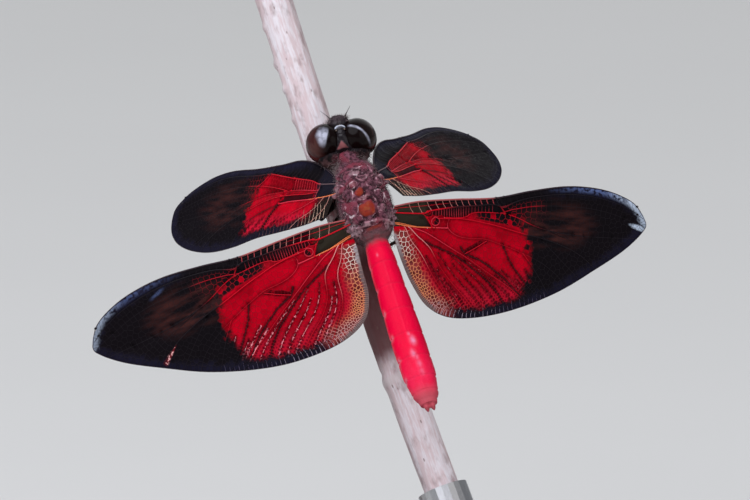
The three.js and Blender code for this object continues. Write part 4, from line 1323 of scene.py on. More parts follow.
def loft(name, rings):
    """A closed skin through rings of points."""
    rings = np.array(rings, float)
    count, sides = rings.shape[:2]
    vertices = [*rings.reshape(-1, 3), rings[0].mean(axis=0), rings[-1].mean(axis=0)]
    first, last = len(vertices) - 2, len(vertices) - 1
    faces = []
    for i in range(sides):
        j = (i + 1) % sides
        for k in range(count - 1):
            a, b = k * sides, (k + 1) * sides
            faces.append((a + i, a + j, b + j, b + i))
        end = (count - 1) * sides
        faces += [(first, j, i), (last, end + i, end + j)]
    piece = shape(name, vertices, faces)
    edit(piece, bpy.ops.mesh.normals_make_consistent, inside=False)
    return piece


def abdomen_ring(s, sides=40):
    """One ring of the abdomen, s millimetres along it."""
    share = min(max(s / ABDOMEN_LENGTH, 0), 1)
    k = min(max(int(np.searchsorted(ABDOMEN_FORM[:, 0], share)), 1), len(ABDOMEN_FORM) - 1)
    a, b = ABDOMEN_FORM[k - 1], ABDOMEN_FORM[k]
    half, above, below = a[1:] + (b[1:] - a[1:]) * ramp(share, a[0], b[0])
    way = (abdomen_centre(s + 0.01) - abdomen_centre(s - 0.01)).normalized()
    across = way.cross(Vector((0, 0, 1))).normalized()
    up = across.cross(way)
    centre = abdomen_centre(s)
    ring = []
    for angle in np.linspace(0, 2 * pi, sides, endpoint=False):
        x = abs(cos(angle)) ** 0.95 * (1 if cos(angle) > 0 else -1)
        z = abs(sin(angle)) ** 0.95 * (1 if sin(angle) > 0 else -1)
        ring.append(centre + across * x * half + up * z * (above if z > 0 else below))
    return ring


def along_abdomen(places):
    """How far along the abdomen each place is, and its offset across and above the centre line."""
    way = np.array((abdomen_centre(ABDOMEN_LENGTH) - ABDOMEN_START).normalized())
    s = (places - np.array(ABDOMEN_START)) @ way
    steps = np.linspace(-4, ABDOMEN_LENGTH + 2, 200)
    offset = places - at_places(np.array([abdomen_centre(t) for t in steps]), steps, s)
    lean = radians(ABDOMEN_LEAN)
    return s, offset[:, 0], offset[:, 2] * cos(lean) + offset[:, 1] * sin(lean)


def rough(places, frequency, seed=0):
    """Soft noise from about -1 to 1 at each place."""
    shift = Vector((seed * 7.3, seed * 3.1, seed * 5.7))
    return np.array([noise.noise(Vector(place) * frequency + shift) for place in places])


def folds(places, frequency, seed=0):
    """Noise in narrow ridges, from 0 to 1."""
    return 1 - np.minimum(np.abs(rough(places, frequency, seed)) * 2.6, 1)


def shape_plates(piece, places, normals, back):
    """Raises the plates of the thorax's back, and keeps their rims, grooves and tones."""
    x = places[:, 0] + 0.14 * rough(places, 0.9, 11) + 0.08 * rough(places, 2.4, 12)
    y = places[:, 1] + 0.14 * rough(places, 0.9, 13) + 0.08 * rough(places, 2.4, 14)
    rise, rims, grooves, within = np.zeros((4, len(places)))
    bumpy = rough(places, 2.2, 6)
    tones = {tone: np.zeros(len(places)) for tone in TONES}
    for px, py, half, length, angle, lift, tone in PLATES:
        c, s = cos(radians(angle)), sin(radians(angle))
        a = (x - px) * c + (y - py) * s
        b = (y - py) * c - (x - px) * s
        # the rust bosses are squarer, flatter and have fainter rims
        loose, square, flat, rim = (0.55, 2.9, 1, 0.35) if tone == "rust" else (1, 2, 0.65, 1)
        wavy = 1 + loose * (0.1 * np.sin(3 * np.arctan2(b, a) + 5 * px) + 0.16 * bumpy)
        r = (np.abs(a / half) ** square + np.abs(b / length) ** square) ** (1 / square) / wavy
        gap = (r - 1) * min(half, length)
        rise = np.maximum(rise, lift * flat * np.clip(1 - r ** 3, 0, 1) ** 0.6)
        rims = np.maximum(rims, bell(gap, PLATE_RIM) * rim)
        grooves = np.maximum(grooves, bell(gap - PLATE_GROOVE, 0.06)) * (1 - 0.9 * (r < 1))
        within = np.maximum(within, ramp(-gap, 0, 0.06))
        tones[tone] = np.maximum(tones[tone], ramp(-gap, -0.02, 0.08))
    grooves *= (1 - within) * ramp(rough(places, 1.3, 21), -0.25, 0.15)
    rims *= ramp(rough(places, 1.6, 22), -0.35, 0.05)
    calm = (1 - 0.9 * np.maximum(tones["rust"], 0.7 * tones["pale"])) * (1 - 0.45 * within)
    bent = places + 0.25 * np.stack([rough(places, 1.2, seed) for seed in (31, 32, 33)], axis=1)
    veil = np.maximum(folds(bent, 1.25, 2) ** 5, folds(bent, 2.4, 8) ** 5 * 0.5) * calm
    grooves = np.maximum(grooves, folds(bent, 1.7, 41) ** 5 * 0.8 * calm * (1 - veil))
    # the ridges carry painted highlights and the grooves painted shade in the finish
    for key, values in {"ridge": np.maximum(rims, veil * 0.8), "groove": grooves, **tones}.items():
        store(piece, key, values * back)
    lift = rise + 0.07 * rims - 0.12 * grooves + 0.1 * veil + 0.05 * bumpy * calm
    return normals * (lift * back)[:, None]


def build_body():
    """Thorax, neck, abdomen and cerci in one skin, with plates, sutures and segment joints."""
    steps = np.linspace(-0.6, ABDOMEN_LENGTH, 90)
    parts = [cad_copy("trunk", ["thorax", "prothorax"]),
             loft("abdomen", [abdomen_ring(s) for s in steps]),
             ball("neck", (-0.1, 2.95, -2.15), (1.2, 1, 1.05)),
             ball("waist", (0, -5.05, -1.05), (1.05, 0.7, 1.15))]
    runs = [([abdomen_centre(ABDOMEN_LENGTH + t) + Vector((side * CERCUS_APART, 0, 0.1))
              for t in np.linspace(-0.5, CERCUS_LENGTH, len(CERCUS_WIDTHS))], CERCUS_WIDTHS)
            for side in (-1, 1)]
    parts.append(tubes("cerci", runs, 3))
    for name in WINGS:
        for number, (u, v, across, deep) in enumerate(HINGE_PLATES[pair_of(name)]):
            parts.append(ball("hinge", (0, 0, 0), (across, deep, 0.2)))
            place = wing_place(name) @ Matrix.Translation((u, v, 0)) @ turn(8 * number - 10, "Z")
            parts[-1].data.transform(place)
    skin = join("body_skin", parts)
    remesh(skin, sizes().skin_grain, SKIN_SMOOTHING)
    places, normals = points_of(skin), normals_of(skin)
    s, aside, above = along_abdomen(places)
    trunk = 1 - ramp(s, -0.55, -0.1)
    back = ramp(normals[:, 2], 0.1, 0.5) * trunk * (1 - ramp(places[:, 1], 1.2, 2.2))
    move = shape_plates(skin, places, normals, back)
    # the sutures of the sides, the keel of the front and a fine grain
    x, y, z = places.T
    flank = ramp(np.abs(normals[:, 0]), 0.45, 0.8) * trunk
    sutures = np.max([bell(y + (z + 1) * 0.42 - start, 0.1) for start in SUTURES], axis=0)
    keel = bell(x, 0.09) * ramp(y, 1, 1.5) * trunk * ramp(normals[:, 2], 0.1, 0.4)
    grain = rough(places, 3.2) * 0.028 + rough(places, 7.5, 1) * 0.014
    move += normals * (trunk * (grain - 0.09 * sutures * flank + 0.08 * keel))[:, None]
    # the joints, side keels and back keel of the abdomen
    rest = 1 - trunk
    joints = np.max([bell(s - end, 0.075) for end in SEGMENT_ENDS[:-1]], axis=0)
    swell = np.zeros(len(places))
    for end, length in zip(SEGMENT_ENDS, SEGMENTS):
        share = np.clip((s - end + length) / length, 0, 1)
        swell += np.where((share > 0) & (share < 1), share * (1 - share) * 0.06 + share * 0.01, 0)
    middle = bell(aside, 0.1) * (above > 0) * ramp(s, 1.6, 3)
    side_keel = bell(above + 0.05, 0.1) * ramp(s, 0.8, 2)
    ends = 1 - ramp(s, ABDOMEN_LENGTH - 1, ABDOMEN_LENGTH)
    pits = rough(places, 5, 3) * 0.012
    lift = swell - 0.035 * joints + (0.045 * middle + 0.05 * side_keel) * (1 - joints) + pits - 0.03
    move += normals * (rest * ends * lift)[:, None]
    move_points(skin, places + move)
    modify(skin, "SMOOTH", factor=0.4, iterations=1)
    # painted highlights: soft lilac reflections on the abdomen's back
    bloom = [bell(s - way, half) * bell(aside - across, half * 0.55) * strength * (above > 0)
             for way, across, half, strength in PAINTED_REFLECTIONS]
    flecks = sum(bell(s - end + 0.05, 0.28) * bell(aside + 1.32, 0.13) for end in SEGMENT_ENDS[1:7])
    roots = np.array([wing_place(name).translation for name in WINGS])
    for key, values in (("along", s), ("aside", aside), ("joint", joints * rest), ("fleck", flecks),
                        ("keel", np.maximum(middle, side_keel) * rest * ends),
                        ("flank", sutures * flank), ("bloom", np.max(bloom, axis=0)),
                        ("hinge", 1 - ramp(nearest(places, roots), 0.5, 1.3))):
        store(skin, key, values)
    nodes = ["thorax", "prothorax", "cercus_left", "cercus_right"]
    nodes += [f"abdomen_{k + 1}" for k in range(len(SEGMENTS))]
    settle(skin, body_finish(), ANIMAL, nodes)


def body_finish():
    """Dusty mauve thorax: rust bosses, painted highlights on ridges, painted shade in grooves; crimson
    abdomen.
    """
    finish = Finish("body_cuticle")
    spots = finish.places(ANIMAL)
    s, aside, joint, keel, ridge, groove, flank, hinge, fleck, bloom, rust = (
        finish.kept(key) for key in ("along", "aside", "joint", "keel", "ridge", "groove", "flank",
                                     "hinge", "fleck", "bloom", "rust"))
    mottle = finish.grain(spots, 2.6, 3, 0.6)
    fine = finish.grain(spots, 11, 3, 0.6)
    tone = finish.mix(mottle.rise(0.38, 0.62), paint("mauve", 0.25), paint("mauve", 1.1))
    tone = finish.mix(finish.grain(spots, 0.9, 1).rise(0.45, 0.7), tone, (0.2, 0.035, 0.055))
    for key, shade, much in (("flush", (0.2, 0.04, 0.062), 0.49), ("mauve", (0.11, 0.036, 0.055), 0.42),
                             ("blush", paint("blush", 0.7), 0.42), ("pale", (0.42, 0.3, 0.31), 0.42)):
        tone = finish.mix(finish.kept(key) * mottle.rise(0.35, 0.62) * much, tone, shade)
    rust = rust * (0.55 + mottle.rise(0.25, 0.6) * 0.45)
    rusty = finish.mix(finish.grain(spots, 2.4).rise(0.46, 0.72), paint("rust"), (0.28, 0.058, 0.024))
    # painted highlights: pink and pale lilac light on the plates' raised ridges
    painted_crest_highlight = (ridge + fine * 0.3).rise(0.5, 1) * finish.grain(spots, 1.9).rise(0.34, 0.58)
    tone = finish.layers(
        tone, (rust, rusty), (painted_crest_highlight * 0.75, paint("blush", 0.85)),
        (painted_crest_highlight * finish.grain(spots, 2).rise(0.52, 0.68) * 0.8, (0.72, 0.6, 0.63)),
        # painted shade in the grooves between the plates, and dark sutures on the sides
        ((groove * 0.95).most(flank * 0.8), (0.014, 0.006, 0.009)),
        (hinge * mottle.rise(0.35, 0.65) * 0.6, (0.34, 0.24, 0.26)))
    # the abdomen
    red = finish.layers(
        paint("crimson", 0.82),
        (finish.grain(finish.stretch(spots, 1, 0.35, 1), 1.6, 3), paint("crimson", 1.1)),
        (joint * 0.2, (0.5, 0.02, 0.06)), (keel * 0.2, (0.95, 0.03, 0.09)),
        # painted shade: the abdomen darker on its right side
        (aside.rise(0.35, 1.5) * 0.6, (0.42, 0, 0.025)),
        (fleck * mottle.rise(0.3, 0.6) * 0.7, (0.66, 0.28, 0.34)),
        # painted highlights: lilac reflections on the abdomen's back
        (bloom * (0.45 + finish.grain(spots, 3.5)) * 0.62, (0.7, 0.38, 0.58)),
        (s.rise(ABDOMEN_LENGTH - 6, ABDOMEN_LENGTH - 2) * mottle * 0.5, (0.8, 0.05, 0.14)),
        (s.rise(ABDOMEN_LENGTH - 2.2, ABDOMEN_LENGTH - 0.3) * 0.85, (0.4, 0.075, 0.095)),
        (s.rise(ABDOMEN_LENGTH + 0.1, ABDOMEN_LENGTH + 0.5) * 0.6, (0.2, 0.04, 0.045)))
    waist = (s + finish.grain(spots, 2.2) * 0.5).rise(0.1, 0.95) * aside.size().fall(1.5, 1.7)
    tone = finish.layers(tone, (s.rise(-0.7, 0) * 0.6, (0.16, 0.1, 0.1)), (waist, red))
    height = fine * 0.6 + finish.cells(spots, 7) * 0.7
    return finish.surface(tone, 0.66 - rust * 0.25 - waist * 0.28,
                          Normal=finish.bump(height, 0.035, 0.7), Specular_IOR_Level=0.06)


# ---- head
HEAD_FRAME = ANIMAL @ HEAD
HEAD_LOBES = [
    ((0, -0.8, -0.15), (2.45, 0.7, 1.75)), ((0, 0.15, 0.05), (0.9, 1.38, 1.93)), ((0, 1.45, 0.55),
    (0.97, 0.86, 0.82)), ((0, 1.5, -0.55), (0.93, 0.65, 0.58)), ((0, 1.15, -1.25), (1.02, 0.76, 0.72)),
    ((0, 0.45, -1.65), (1.1, 0.92, 0.48))
]
OCELLI = [((0, 1.02, 1.62), 0.13), ((-0.36, 0.6, 1.84), 0.09), ((0.36, 0.6, 1.84), 0.09)]
ANTENNA = [(0.55, 1.7, 1.2), (0.75, 2.05, 1.2), (0.98, 2.38, 1.1), (1.2, 2.7, 0.88), (1.3, 2.9, 0.7)]
ANTENNA_WIDTH = [0.09, 0.06, 0.028, 0.022, 0.012]
SIDES = {"left": -1, "right": 1}


def build_head():
    """Face, vertex, mouthparts and the back of the head in one skin."""
    parts = [ball("lobe", centre, half, rings=24) for centre, half in HEAD_LOBES]
    parts += [ball("vertex", (0, 0.72, 1.5), (0.56, 0.42, 0.42)),
              ball("occiput", (0, -0.62, 1.5), (0.42, 0.5, 0.36), turn(18, "X")),
              ball("nape", (0, -1.1, -0.1), (1, 0.75, 0.9)),
              ball("crown", (0, -0.1, 0.95), (0.95, 1.15, 0.93))]
    for side in (-1, 1):
        parts += [ball("temple", (side * 1.05, -1.3, 0.2), (1.25, 1, 1.2), turn(side * 14, "Z")),
                  ball("jaw", (side * 0.62, 1.3, -1.35), (0.4, 0.55, 0.5), turn(side * 14, "Y")),
                  ball("socket", (side * 0.55, 1.72, 1.15), (0.17, 0.14, 0.16))]
    skin = join("head_skin", parts)
    remesh(skin, sizes().head_grain, HEAD_SMOOTHING)
    places, normals = points_of(skin), normals_of(skin)
    x, y, z = places.T
    front = ramp(y, 0.9, 1.3)
    dent = bell(x, 0.1) * ramp(z, 0.3, 0.7) * front * 0.07
    for level in (-0.12, -0.95):
        dent += 0.1 * bell(z - level + 0.1 * np.abs(x), 0.07) * front
    dent += 0.05 * bell(y - 0.2, 0.07) * (z > 1) * (np.abs(x) < 0.6) + 0.06 * bell(x, 0.06) * (z < -1.3)
    rear = ramp(-y, 0.9, 1.2)
    pits = rough(places, 6, 4) * 0.014 * (front + rear) + rough(places, 2.2, 5) * 0.07 * rear
    pits += folds(places, 1.6, 6) ** 4 * 0.06 * rear
    move_points(skin, places + normals * (pits - dent)[:, None])
    triangle = ramp(-0.28 - y - np.abs(x + 0.1) * 1.25, 0, 0.2) * ramp(z, 0.95, 1.15)
    store(skin, "triangle", triangle * ramp(y, -1.05, -0.93))
    # painted highlight: a pale blue-white arc on the front of the vertex
    band = bell(z - 1.78 + 0.22 * x * x, 0.07) * (y > 0.75) * ramp(0.5 - np.abs(x), 0, 0.1)
    store(skin, "band", band)
    store(skin, "head", places)
    settle(skin, head_finish(), HEAD_FRAME, ["head", "frons", "mouthparts"])
    eyelets = join("ocelli", [ball("ocellus", centre, (half,) * 3, around=16, rings=12)
                              for centre, half in OCELLI])
    glass = Finish("ocellus")
    tone = glass.mix(glass.grain(glass.places(HEAD_FRAME), 3), (0.05, 0.03, 0.02), (0.16, 0.11, 0.08))
    settle(eyelets, glass.surface(tone, 0.06, Coat_Weight=1, Coat_Roughness=0.03), HEAD_FRAME)


def head_finish():
    """Black glossy vertex, dull grey face, brown nape, the pink triangle behind the eyes and a painted
    highlight.
    """
    finish = Finish("head_cuticle")
    spots = finish.kept("head", vector=True)
    triangle = finish.kept("triangle")
    x, y, _ = finish.parts(spots)
    fine = finish.grain(spots, 9, 3)
    black = finish.mix(fine, (0.006, 0.005, 0.007), (0.02, 0.015, 0.018))
    face = finish.mix(finish.grain(spots, 2.2), (0.01, 0.008, 0.01), (0.075, 0.055, 0.062))
    nape = finish.mix(finish.grain(spots, 2.4, 3).rise(0.36, 0.68), (0.01, 0.007, 0.007), (0.1, 0.048, 0.05))
    nape = finish.shaded(nape, 0.2 + y.fall(-2.1, -1.1) * 0.75)
    behind = (y + finish.grain(spots, 2) * 0.5).fall(-1.6, -0.6)
    flush = behind * x.size().fall(0.7, 1.3) * fine.rise(0.35, 0.6) * y.fall(-1.6, -1.2)
    tone = finish.layers(
        black, ((y + fine * 0.3).rise(1.35, 1.75), face), (behind, nape),
        (flush * 0.7, (0.2, 0.05, 0.07)), (triangle * (0.7 + fine * 0.3), (0.27, 0.09, 0.095)),
        # painted highlight on the front of the vertex
        (finish.kept("band") * 0.9, (0.62, 0.66, 0.78)))
    ahead = y.rise(1.3, 1.7)
    gloss = (1 - behind.most(ahead).most(triangle)) * x.size().fall(0.4, 0.6)
    return finish.surface(tone, 0.24 + ahead * 0.4 + behind * 0.35 + triangle * 0.3,
                          Normal=finish.bump(fine, 0.02, 0.5), Coat_Weight=gloss * 0.3,
                          Coat_Roughness=0.12, Specular_IOR_Level=0.06)


def build_eyes():
    """The compound eyes, which meet behind the vertex."""
    for name, side in SIDES.items():
        centre = Vector((side * EYE_CENTRE.x, EYE_CENTRE.y, EYE_CENTRE.z))
        eye = ball(f"eye_{name}", centre, EYE_HALF, turn(-side * EYE_TILT, "Y"), 96, 72)
        eye.name = f"eye_{name}_facets"
        edit(eye, bpy.ops.mesh.bisect, plane_co=(side * EYE_APART, 0, 0), plane_no=(side, 0, 0),
             clear_inner=True, use_fill=True)
        store(eye, "head", points_of(eye))
        settle(eye, eye_finish(name, side), HEAD_FRAME, [f"eye_{name}"])


def eye_finish(name, side):
    """Glossy dark facets: black above, warm dark brown at the sides and below, with painted reflections on
    top.
    """
    finish = Finish(f"eye_{name}")
    spots = finish.kept("head", vector=True)
    x, y, z = finish.parts(spots)
    outer = (x * side + finish.grain(spots, 1.2) * 0.4).rise(1.6, 2.9).most((z + 0.1).fall(-1.6, 0.2))
    outer = outer * (1 if side < 0 else 0.5)
    bands = finish.grain(finish.stretch(spots, 0.5, 0.5, 1.6), 1.4, 1).rise(0.5, 0.66)
    # painted reflections of the sky: a soft lilac patch on top of the left eye and a thin arc along the
    # right eye's inner edge
    veil = finish.grain(spots, 1.4)
    if side < 0:
        bloom = ((x + 1.55) * 1.45).squared() + (y - 0.25).squared() * 1.1
        bloom = (bloom + veil * 0.8).fall(0.4, 1.7) * (x * 0.93 - y * 0.35).fall(-1.3, -1.12)
    else:
        out = finish.maths("POWER", (x - 0.22).squared() + (y + 1.22).squared(), 0.5)
        bloom = (out - 2.08 - x * 0.02).size() + veil * 0.1
        bloom = bloom.fall(0.06, 0.22) * (y + veil * 0.9).rise(-1, 0.5) * x.rise(0.6, 0.9)
    bloom = bloom * z.rise(0.5, 1.1) * (0.45 + finish.grain(spots, 2.2).rise(0.3, 0.65) * 0.55)
    tone = finish.layers(
        paint("eye", 0.2), (outer, (0.05, 0.014, 0.014) if side < 0 else (0.018, 0.01, 0.008)),
        (outer * bands * 0.6, (0.09, 0.035, 0.03)), (bloom, (0.42, 0.43, 0.52)))
    facets = finish.bump(finish.cells(spots, 26), 0.004, 0.25)
    return finish.surface(tone, 0.16, Normal=facets, Coat_Weight=0.08, Coat_Roughness=0.2,
                          Specular_IOR_Level=0.06)


def build_antennae():
    """Two short bristle-like antennae."""
    for name, side in SIDES.items():
        line = through([(side * x, y, z) for x, y, z in ANTENNA], 0.06)
        width = np.interp(np.linspace(0, 4, len(line)), range(5), ANTENNA_WIDTH)
        width *= 1 - 0.16 * (np.sin(np.linspace(0, 9 * pi, len(line))) ** 8)
        bristle = tubes(f"antenna_{name}_bristle", [(line, width)], 4)
        finish = Finish(f"antenna_{name}")
        grain = finish.grain(finish.places(HEAD_FRAME), 4)
        tone = finish.mix(grain, (0.012, 0.008, 0.008), (0.05, 0.03, 0.03))
        settle(bristle, finish.surface(tone, 0.35), HEAD_FRAME, [f"antenna_{name}"])


# ---- legs
# The legs' parts: their widths, how many pairs of spines each has and how long these are.
LEG_PARTS = {"femur": ((0.36, 0.34, 0.27, 0.22), 6, 0.5), "tibia": ((0.2, 0.17, 0.15, 0.14), 9, 1),
             "tarsus": ((0.12, 0.1, 0.09, 0.08), 3, 0.35)}
JOINT_WIDTHS = (0.2125, 0.15)
SPINE_WIDTH = 0.028


def leg_line(pair, side):
    """The ends of a leg's three parts, from its root to its toe, in the animal's frame."""
    back = ANIMAL.inverted()
    ends = []
    for part in LEG_PARTS:
        mesh = NODES[f"leg_{pair}_{side}_{part}"].data
        places = np.array([back @ vertex.co for vertex in mesh.vertices])
        middle = places.mean(axis=0)
        way = np.linalg.svd(places - middle)[2][0]
        reach = (places - middle) @ way
        ends.append((middle + way * reach.min(), middle + way * reach.max()))
    first, second, third = ends

    def apart(a, b):
        """The distance between two points."""
        return np.linalg.norm(a - b)

    middle = (second[0] + second[1]) / 2
    if apart(first[0], middle) < apart(first[1], middle):
        first = first[::-1]
    if apart(second[0], first[1]) > apart(second[1], first[1]):
        second = second[::-1]
    if apart(third[0], second[1]) > apart(third[1], second[1]):
        third = third[::-1]
    knee, ankle = (first[1] + second[0]) / 2, (second[1] + third[0]) / 2
    return [first[0] + unit(first[0] - knee) * 0.5, knee, ankle, third[1]]


def spine(root, way, length, width):
    """A fine spine: the points of its axis and its width at each."""
    line = np.array([root + way * length * share for share in (-0.1, 0.35, 0.7, 1)])
    line[2] += np.array((0, 0, -0.03))
    return line, np.array((1, 0.75, 0.45, 0.08)) * width


def build_legs():
    """Six spiny legs, each in one skin, with their claws."""
    random = np.random.default_rng(5)
    spines = []
    for pair, side in ((pair, side) for pair in ("fore", "mid", "hind") for side in SIDES):
        points = leg_line(pair, side)
        runs = []
        for a, b, (part, (widths, count, long)) in zip(points, points[1:], LEG_PARTS.items()):
            width = np.interp(np.linspace(0, 3, 16), range(4), widths)
            if part == "tarsus":
                width = width * (1 - 0.22 * np.sin(np.linspace(0, 3 * pi, 16)) ** 6)
            runs.append((np.linspace(a, b, 16), width))
            way = unit(b - a)
            across = unit(np.cross(way, (0, 0, 1)))
            inward = np.cross(way, across)
            for k in range(count):
                share = (k + 0.8 + 0.2 * random.random()) / (count + 0.8)
                thick = float(np.interp(share * 3, range(4), widths))
                length = sizes().spine_length * long * (1 - 0.7 * abs(share - 0.45))
                for turned in (-1, 1):
                    out = unit(across * turned + inward * random.uniform(-0.35, 0.1) + way * 0.75)
                    spines.append(spine(a + (b - a) * share + out * thick * 0.7, out, length, SPINE_WIDTH))
        # the claws carry on from the last part
        toe = points[3]
        for turned in (-1, 1):
            out = way + across * turned * 0.75
            claw = np.array([toe - way * 0.1, toe + out * 0.06, toe + out * 0.12 + way * 0.02,
                             toe + out * 0.13 + way * 0.06])
            spines.append((claw, np.array((0.045, 0.035, 0.022, 0.005))))
        leg = tubes(f"leg_{pair}_{side}_skin", runs, 4)
        leg = join(leg.name, [leg, *[ball("joint", place, (width,) * 3, around=16, rings=12)
                                     for place, width in zip(points[1:3], JOINT_WIDTHS)]])
        remesh(leg, LEG_GRAIN, LEG_SMOOTHING)
        settle(leg, leg_finish(), ANIMAL, [f"leg_{pair}_{side}_{part}" for part in LEG_PARTS])
    settle(tubes("leg_spines", spines), leg_finish())


def leg_finish():
    """Black-brown cuticle with a waxy shine."""
    finish = Finish("leg_cuticle")
    spots = finish.places(ANIMAL)
    tone = finish.mix(finish.grain(spots, 1.6, 3), (0.01, 0.007, 0.007), (0.05, 0.028, 0.022))
    return finish.surface(tone, 0.36, Normal=finish.bump(finish.grain(spots, 14), 0.02, 0.6))


# ---- coat
COAT_HEIGHT = -1.6
PATCH = 0.0015


def unwrap(places):
    """Where a point of the body lies on an unwrap of its shape around its long axis."""
    angle = np.arctan2(places[:, 0], places[:, 2] - COAT_HEIGHT)
    return np.stack([0.5 + angle / (2 * pi) * 0.98, (places[:, 1] + 8) / 17], axis=1)


def scatter(piece, count, density, random):
    """Random places on a finished piece, with their normals, both in the animal's frame."""
    piece.data.calc_loop_triangles()
    corners = read(piece.data.loop_triangles, "vertices", np.int32)
    back = np.array(ANIMAL.inverted())
    places = points_of(piece) @ back[:3, :3].T + back[:3, 3]
    normals = normals_of(piece) @ np.array(ATTITUDE.to_3x3())
    a, b, c = (places[corners[:, k]] for k in range(3))
    share = np.linalg.norm(np.cross(b - a, c - a), axis=1)
    share *= density((a + b + c) / 3, normals[corners].mean(axis=1))
    chosen = random.choice(len(corners), count, p=share / share.sum())
    f, g = random.random((2, count))
    flip = f + g > 1
    f[flip], g[flip] = 1 - f[flip], 1 - g[flip]
    spots = a[chosen] + (b - a)[chosen] * f[:, None] + (c - a)[chosen] * g[:, None]
    return spots, normals[corners[chosen]].mean(axis=1)


def hairs(name, spots, ways, lengths, widths, bend):
    """Tapered three-sided hairs as one mesh, each with its patch on the unwrap."""
    count = len(spots)
    lengths, widths = lengths[:, None], widths[:, None]
    across = unit(np.cross(ways, np.where(np.abs(ways[:, 2:3]) < 0.9, (0, 0, 1), (1, 0, 0))))
    other = np.cross(ways, across)
    rings = []
    for share, thick in ((-0.08, 1), (0.55, 0.7)):
        middle = spots + ways * (lengths * share) + bend * (lengths * max(share, 0) ** 2)
        rings += [middle + (across * x + other * y) * (widths * thick) for x, y in circle(3)]
    rings.append(spots + ways * lengths + bend * lengths)
    vertices = np.stack(rings, axis=1).reshape(-1, 3)
    pattern = [(0, 2, 1)]
    for k in range(3):
        j = (k + 1) % 3
        pattern += [(k, j, j + 3), (k, j + 3, k + 3), (k + 3, j + 3, 6)]
    faces = (np.array(pattern)[None] + 7 * np.arange(count)[:, None, None]).reshape(-1, 3)
    piece = shape(name, vertices, faces)
    layer = piece.data.uv_layers.new(name="OFBake")
    corner = faces.ravel()
    spread = unwrap(spots)[corner // 7] + circle(7)[corner % 7] * PATCH
    layer.data.foreach_set("uv", spread.astype(np.float32).ravel())
    store(piece, "chance", np.repeat(np.random.default_rng(3).random(count), 7))
    return piece


def on_body(places, normals):
    """How thick the coat is on the thorax and neck."""
    y = places[:, 1]
    beside = ramp(np.abs(normals[:, 0]), 0.25, 0.7)
    thick = ramp(y, 0.6, 1.8) * (0.2 + beside) + ramp(y, 2.2, 2.8) * (0.3 + 2 * beside)
    thick += ramp(np.abs(normals[:, 0]), 0.3, 0.8) * 0.8
    thick += ramp(-normals[:, 2], 0, 0.6) * 0.5 + 0.16
    return thick * ramp(y, -5.2, -4.6)


def on_head(places, _):
    """How thick the coat is on the face and nape."""
    y = places[:, 1] - HEAD_PLACE.y
    return ramp(y, 1.35, 1.8) + ramp(-y, 1.4, 2) * 0.16


def build_coat():
    """Short grey and rosy hairs on the thorax, the nape and the face."""
    random = np.random.default_rng(17)
    values = sizes()
    spots, ways, share = [], [], []
    for name, count, density, length in (("body_skin", values.hair_count, on_body, 1),
                                         ("head_skin", values.hair_count // 5, on_head, 0.75)):
        roots, normals = scatter(bpy.data.objects[name], count, density, random)
        spots.append(roots)
        ways.append(normals)
        longer = 0.8 + 0.7 * ramp(roots[:, 1], 1.8, 2.8) * ramp(np.abs(roots[:, 0]), 0.3, 0.9)
        share.append(length * random.uniform(0.5, 1, count) * longer)
    spots, ways, share = np.vstack(spots), np.vstack(ways), np.concatenate(share)
    ways = unit(ways + np.array((0, -0.35, 0.25)) + random.normal(0, 0.28, ways.shape))
    bend = random.normal(0, 0.1, ways.shape) + np.array((0, -0.12, 0))
    fur = hairs("body_hair", spots, ways, values.hair_length * share, values.hair_width * share * 0.5, bend)
    finish = Finish("hair")
    tone = finish.mix(finish.kept("chance").rise(0.2, 0.8), (0.08, 0.05, 0.05), (0.28, 0.21, 0.21))
    settle(fur, finish.surface(tone, 0.5), smooth=False)


# ---- stem and stand
STEM_KNOTS = [(-9.5, 100, 0.5, 0.16), (3.2, 200, 0.45, 0.12), (9.1, 185, 0.4, 0.2), (11.8, 195, 0.3, 0.16),
              (14.2, 176, 0.45, 0.22), (17.6, 190, 0.35, 0.15), (-20.5, 300, 0.5, 0.12)]


def build_stem():
    """The cut plant stem with its ribs, leaf scar and small knots."""
    ways = circle(STEM_SIDES)
    degrees = np.arange(STEM_SIDES) * 360 / STEM_SIDES

    def lumps(s, around, along, start=0):
        """Soft noise around the stem, s along it."""
        return np.array([noise.noise(Vector((x * around, y * around, s * along + start))) for x, y in ways])

    rings, ribs = [], []
    steps = np.arange(-STEM_BELOW, STEM_ABOVE + 0.01, sizes().stem_grain)
    for s in steps:
        way = (stem_centre(s + 0.1) - stem_centre(s - 0.1)).normalized()
        across = Vector((0, 1, 0)).cross(way).normalized()
        deep = way.cross(across)
        ribs.append(lumps(s, 3.2, 0.12))
        reach = STEM_RADIUS + 0.13 * bell(s - LEAF_SCAR, 0.6) - 0.07 * bell(s - LEAF_SCAR - 0.85, 0.28)
        reach = reach + 0.07 * ribs[-1] + 0.03 * lumps(s, 9, 0.5, 40) - 0.06
        for place, toward, spread, lift in STEM_KNOTS:
            turned = (degrees - toward + 180) % 360 - 180
            reach += lift * bell(s - place, spread) * bell(turned, 24)
        reach -= 0.06 * (1 - ramp(min(s + STEM_BELOW, STEM_ABOVE - s), 0, 0.15))
        rings.append(np.array(stem_centre(s)) + (ways * reach[:, None]) @ np.array((across, deep)))
    stem = loft("stem_bark", rings)
    ends = [(0, 0, -STEM_BELOW), (0, 0, STEM_ABOVE)]
    around = np.tile(ways * STEM_RADIUS, (len(steps), 1))
    bark = np.vstack([np.c_[around, np.repeat(steps, STEM_SIDES)], ends])
    store(stem, "bark", bark)
    settle(stem, bark_finish(), WORLD, ["perch_stem"])


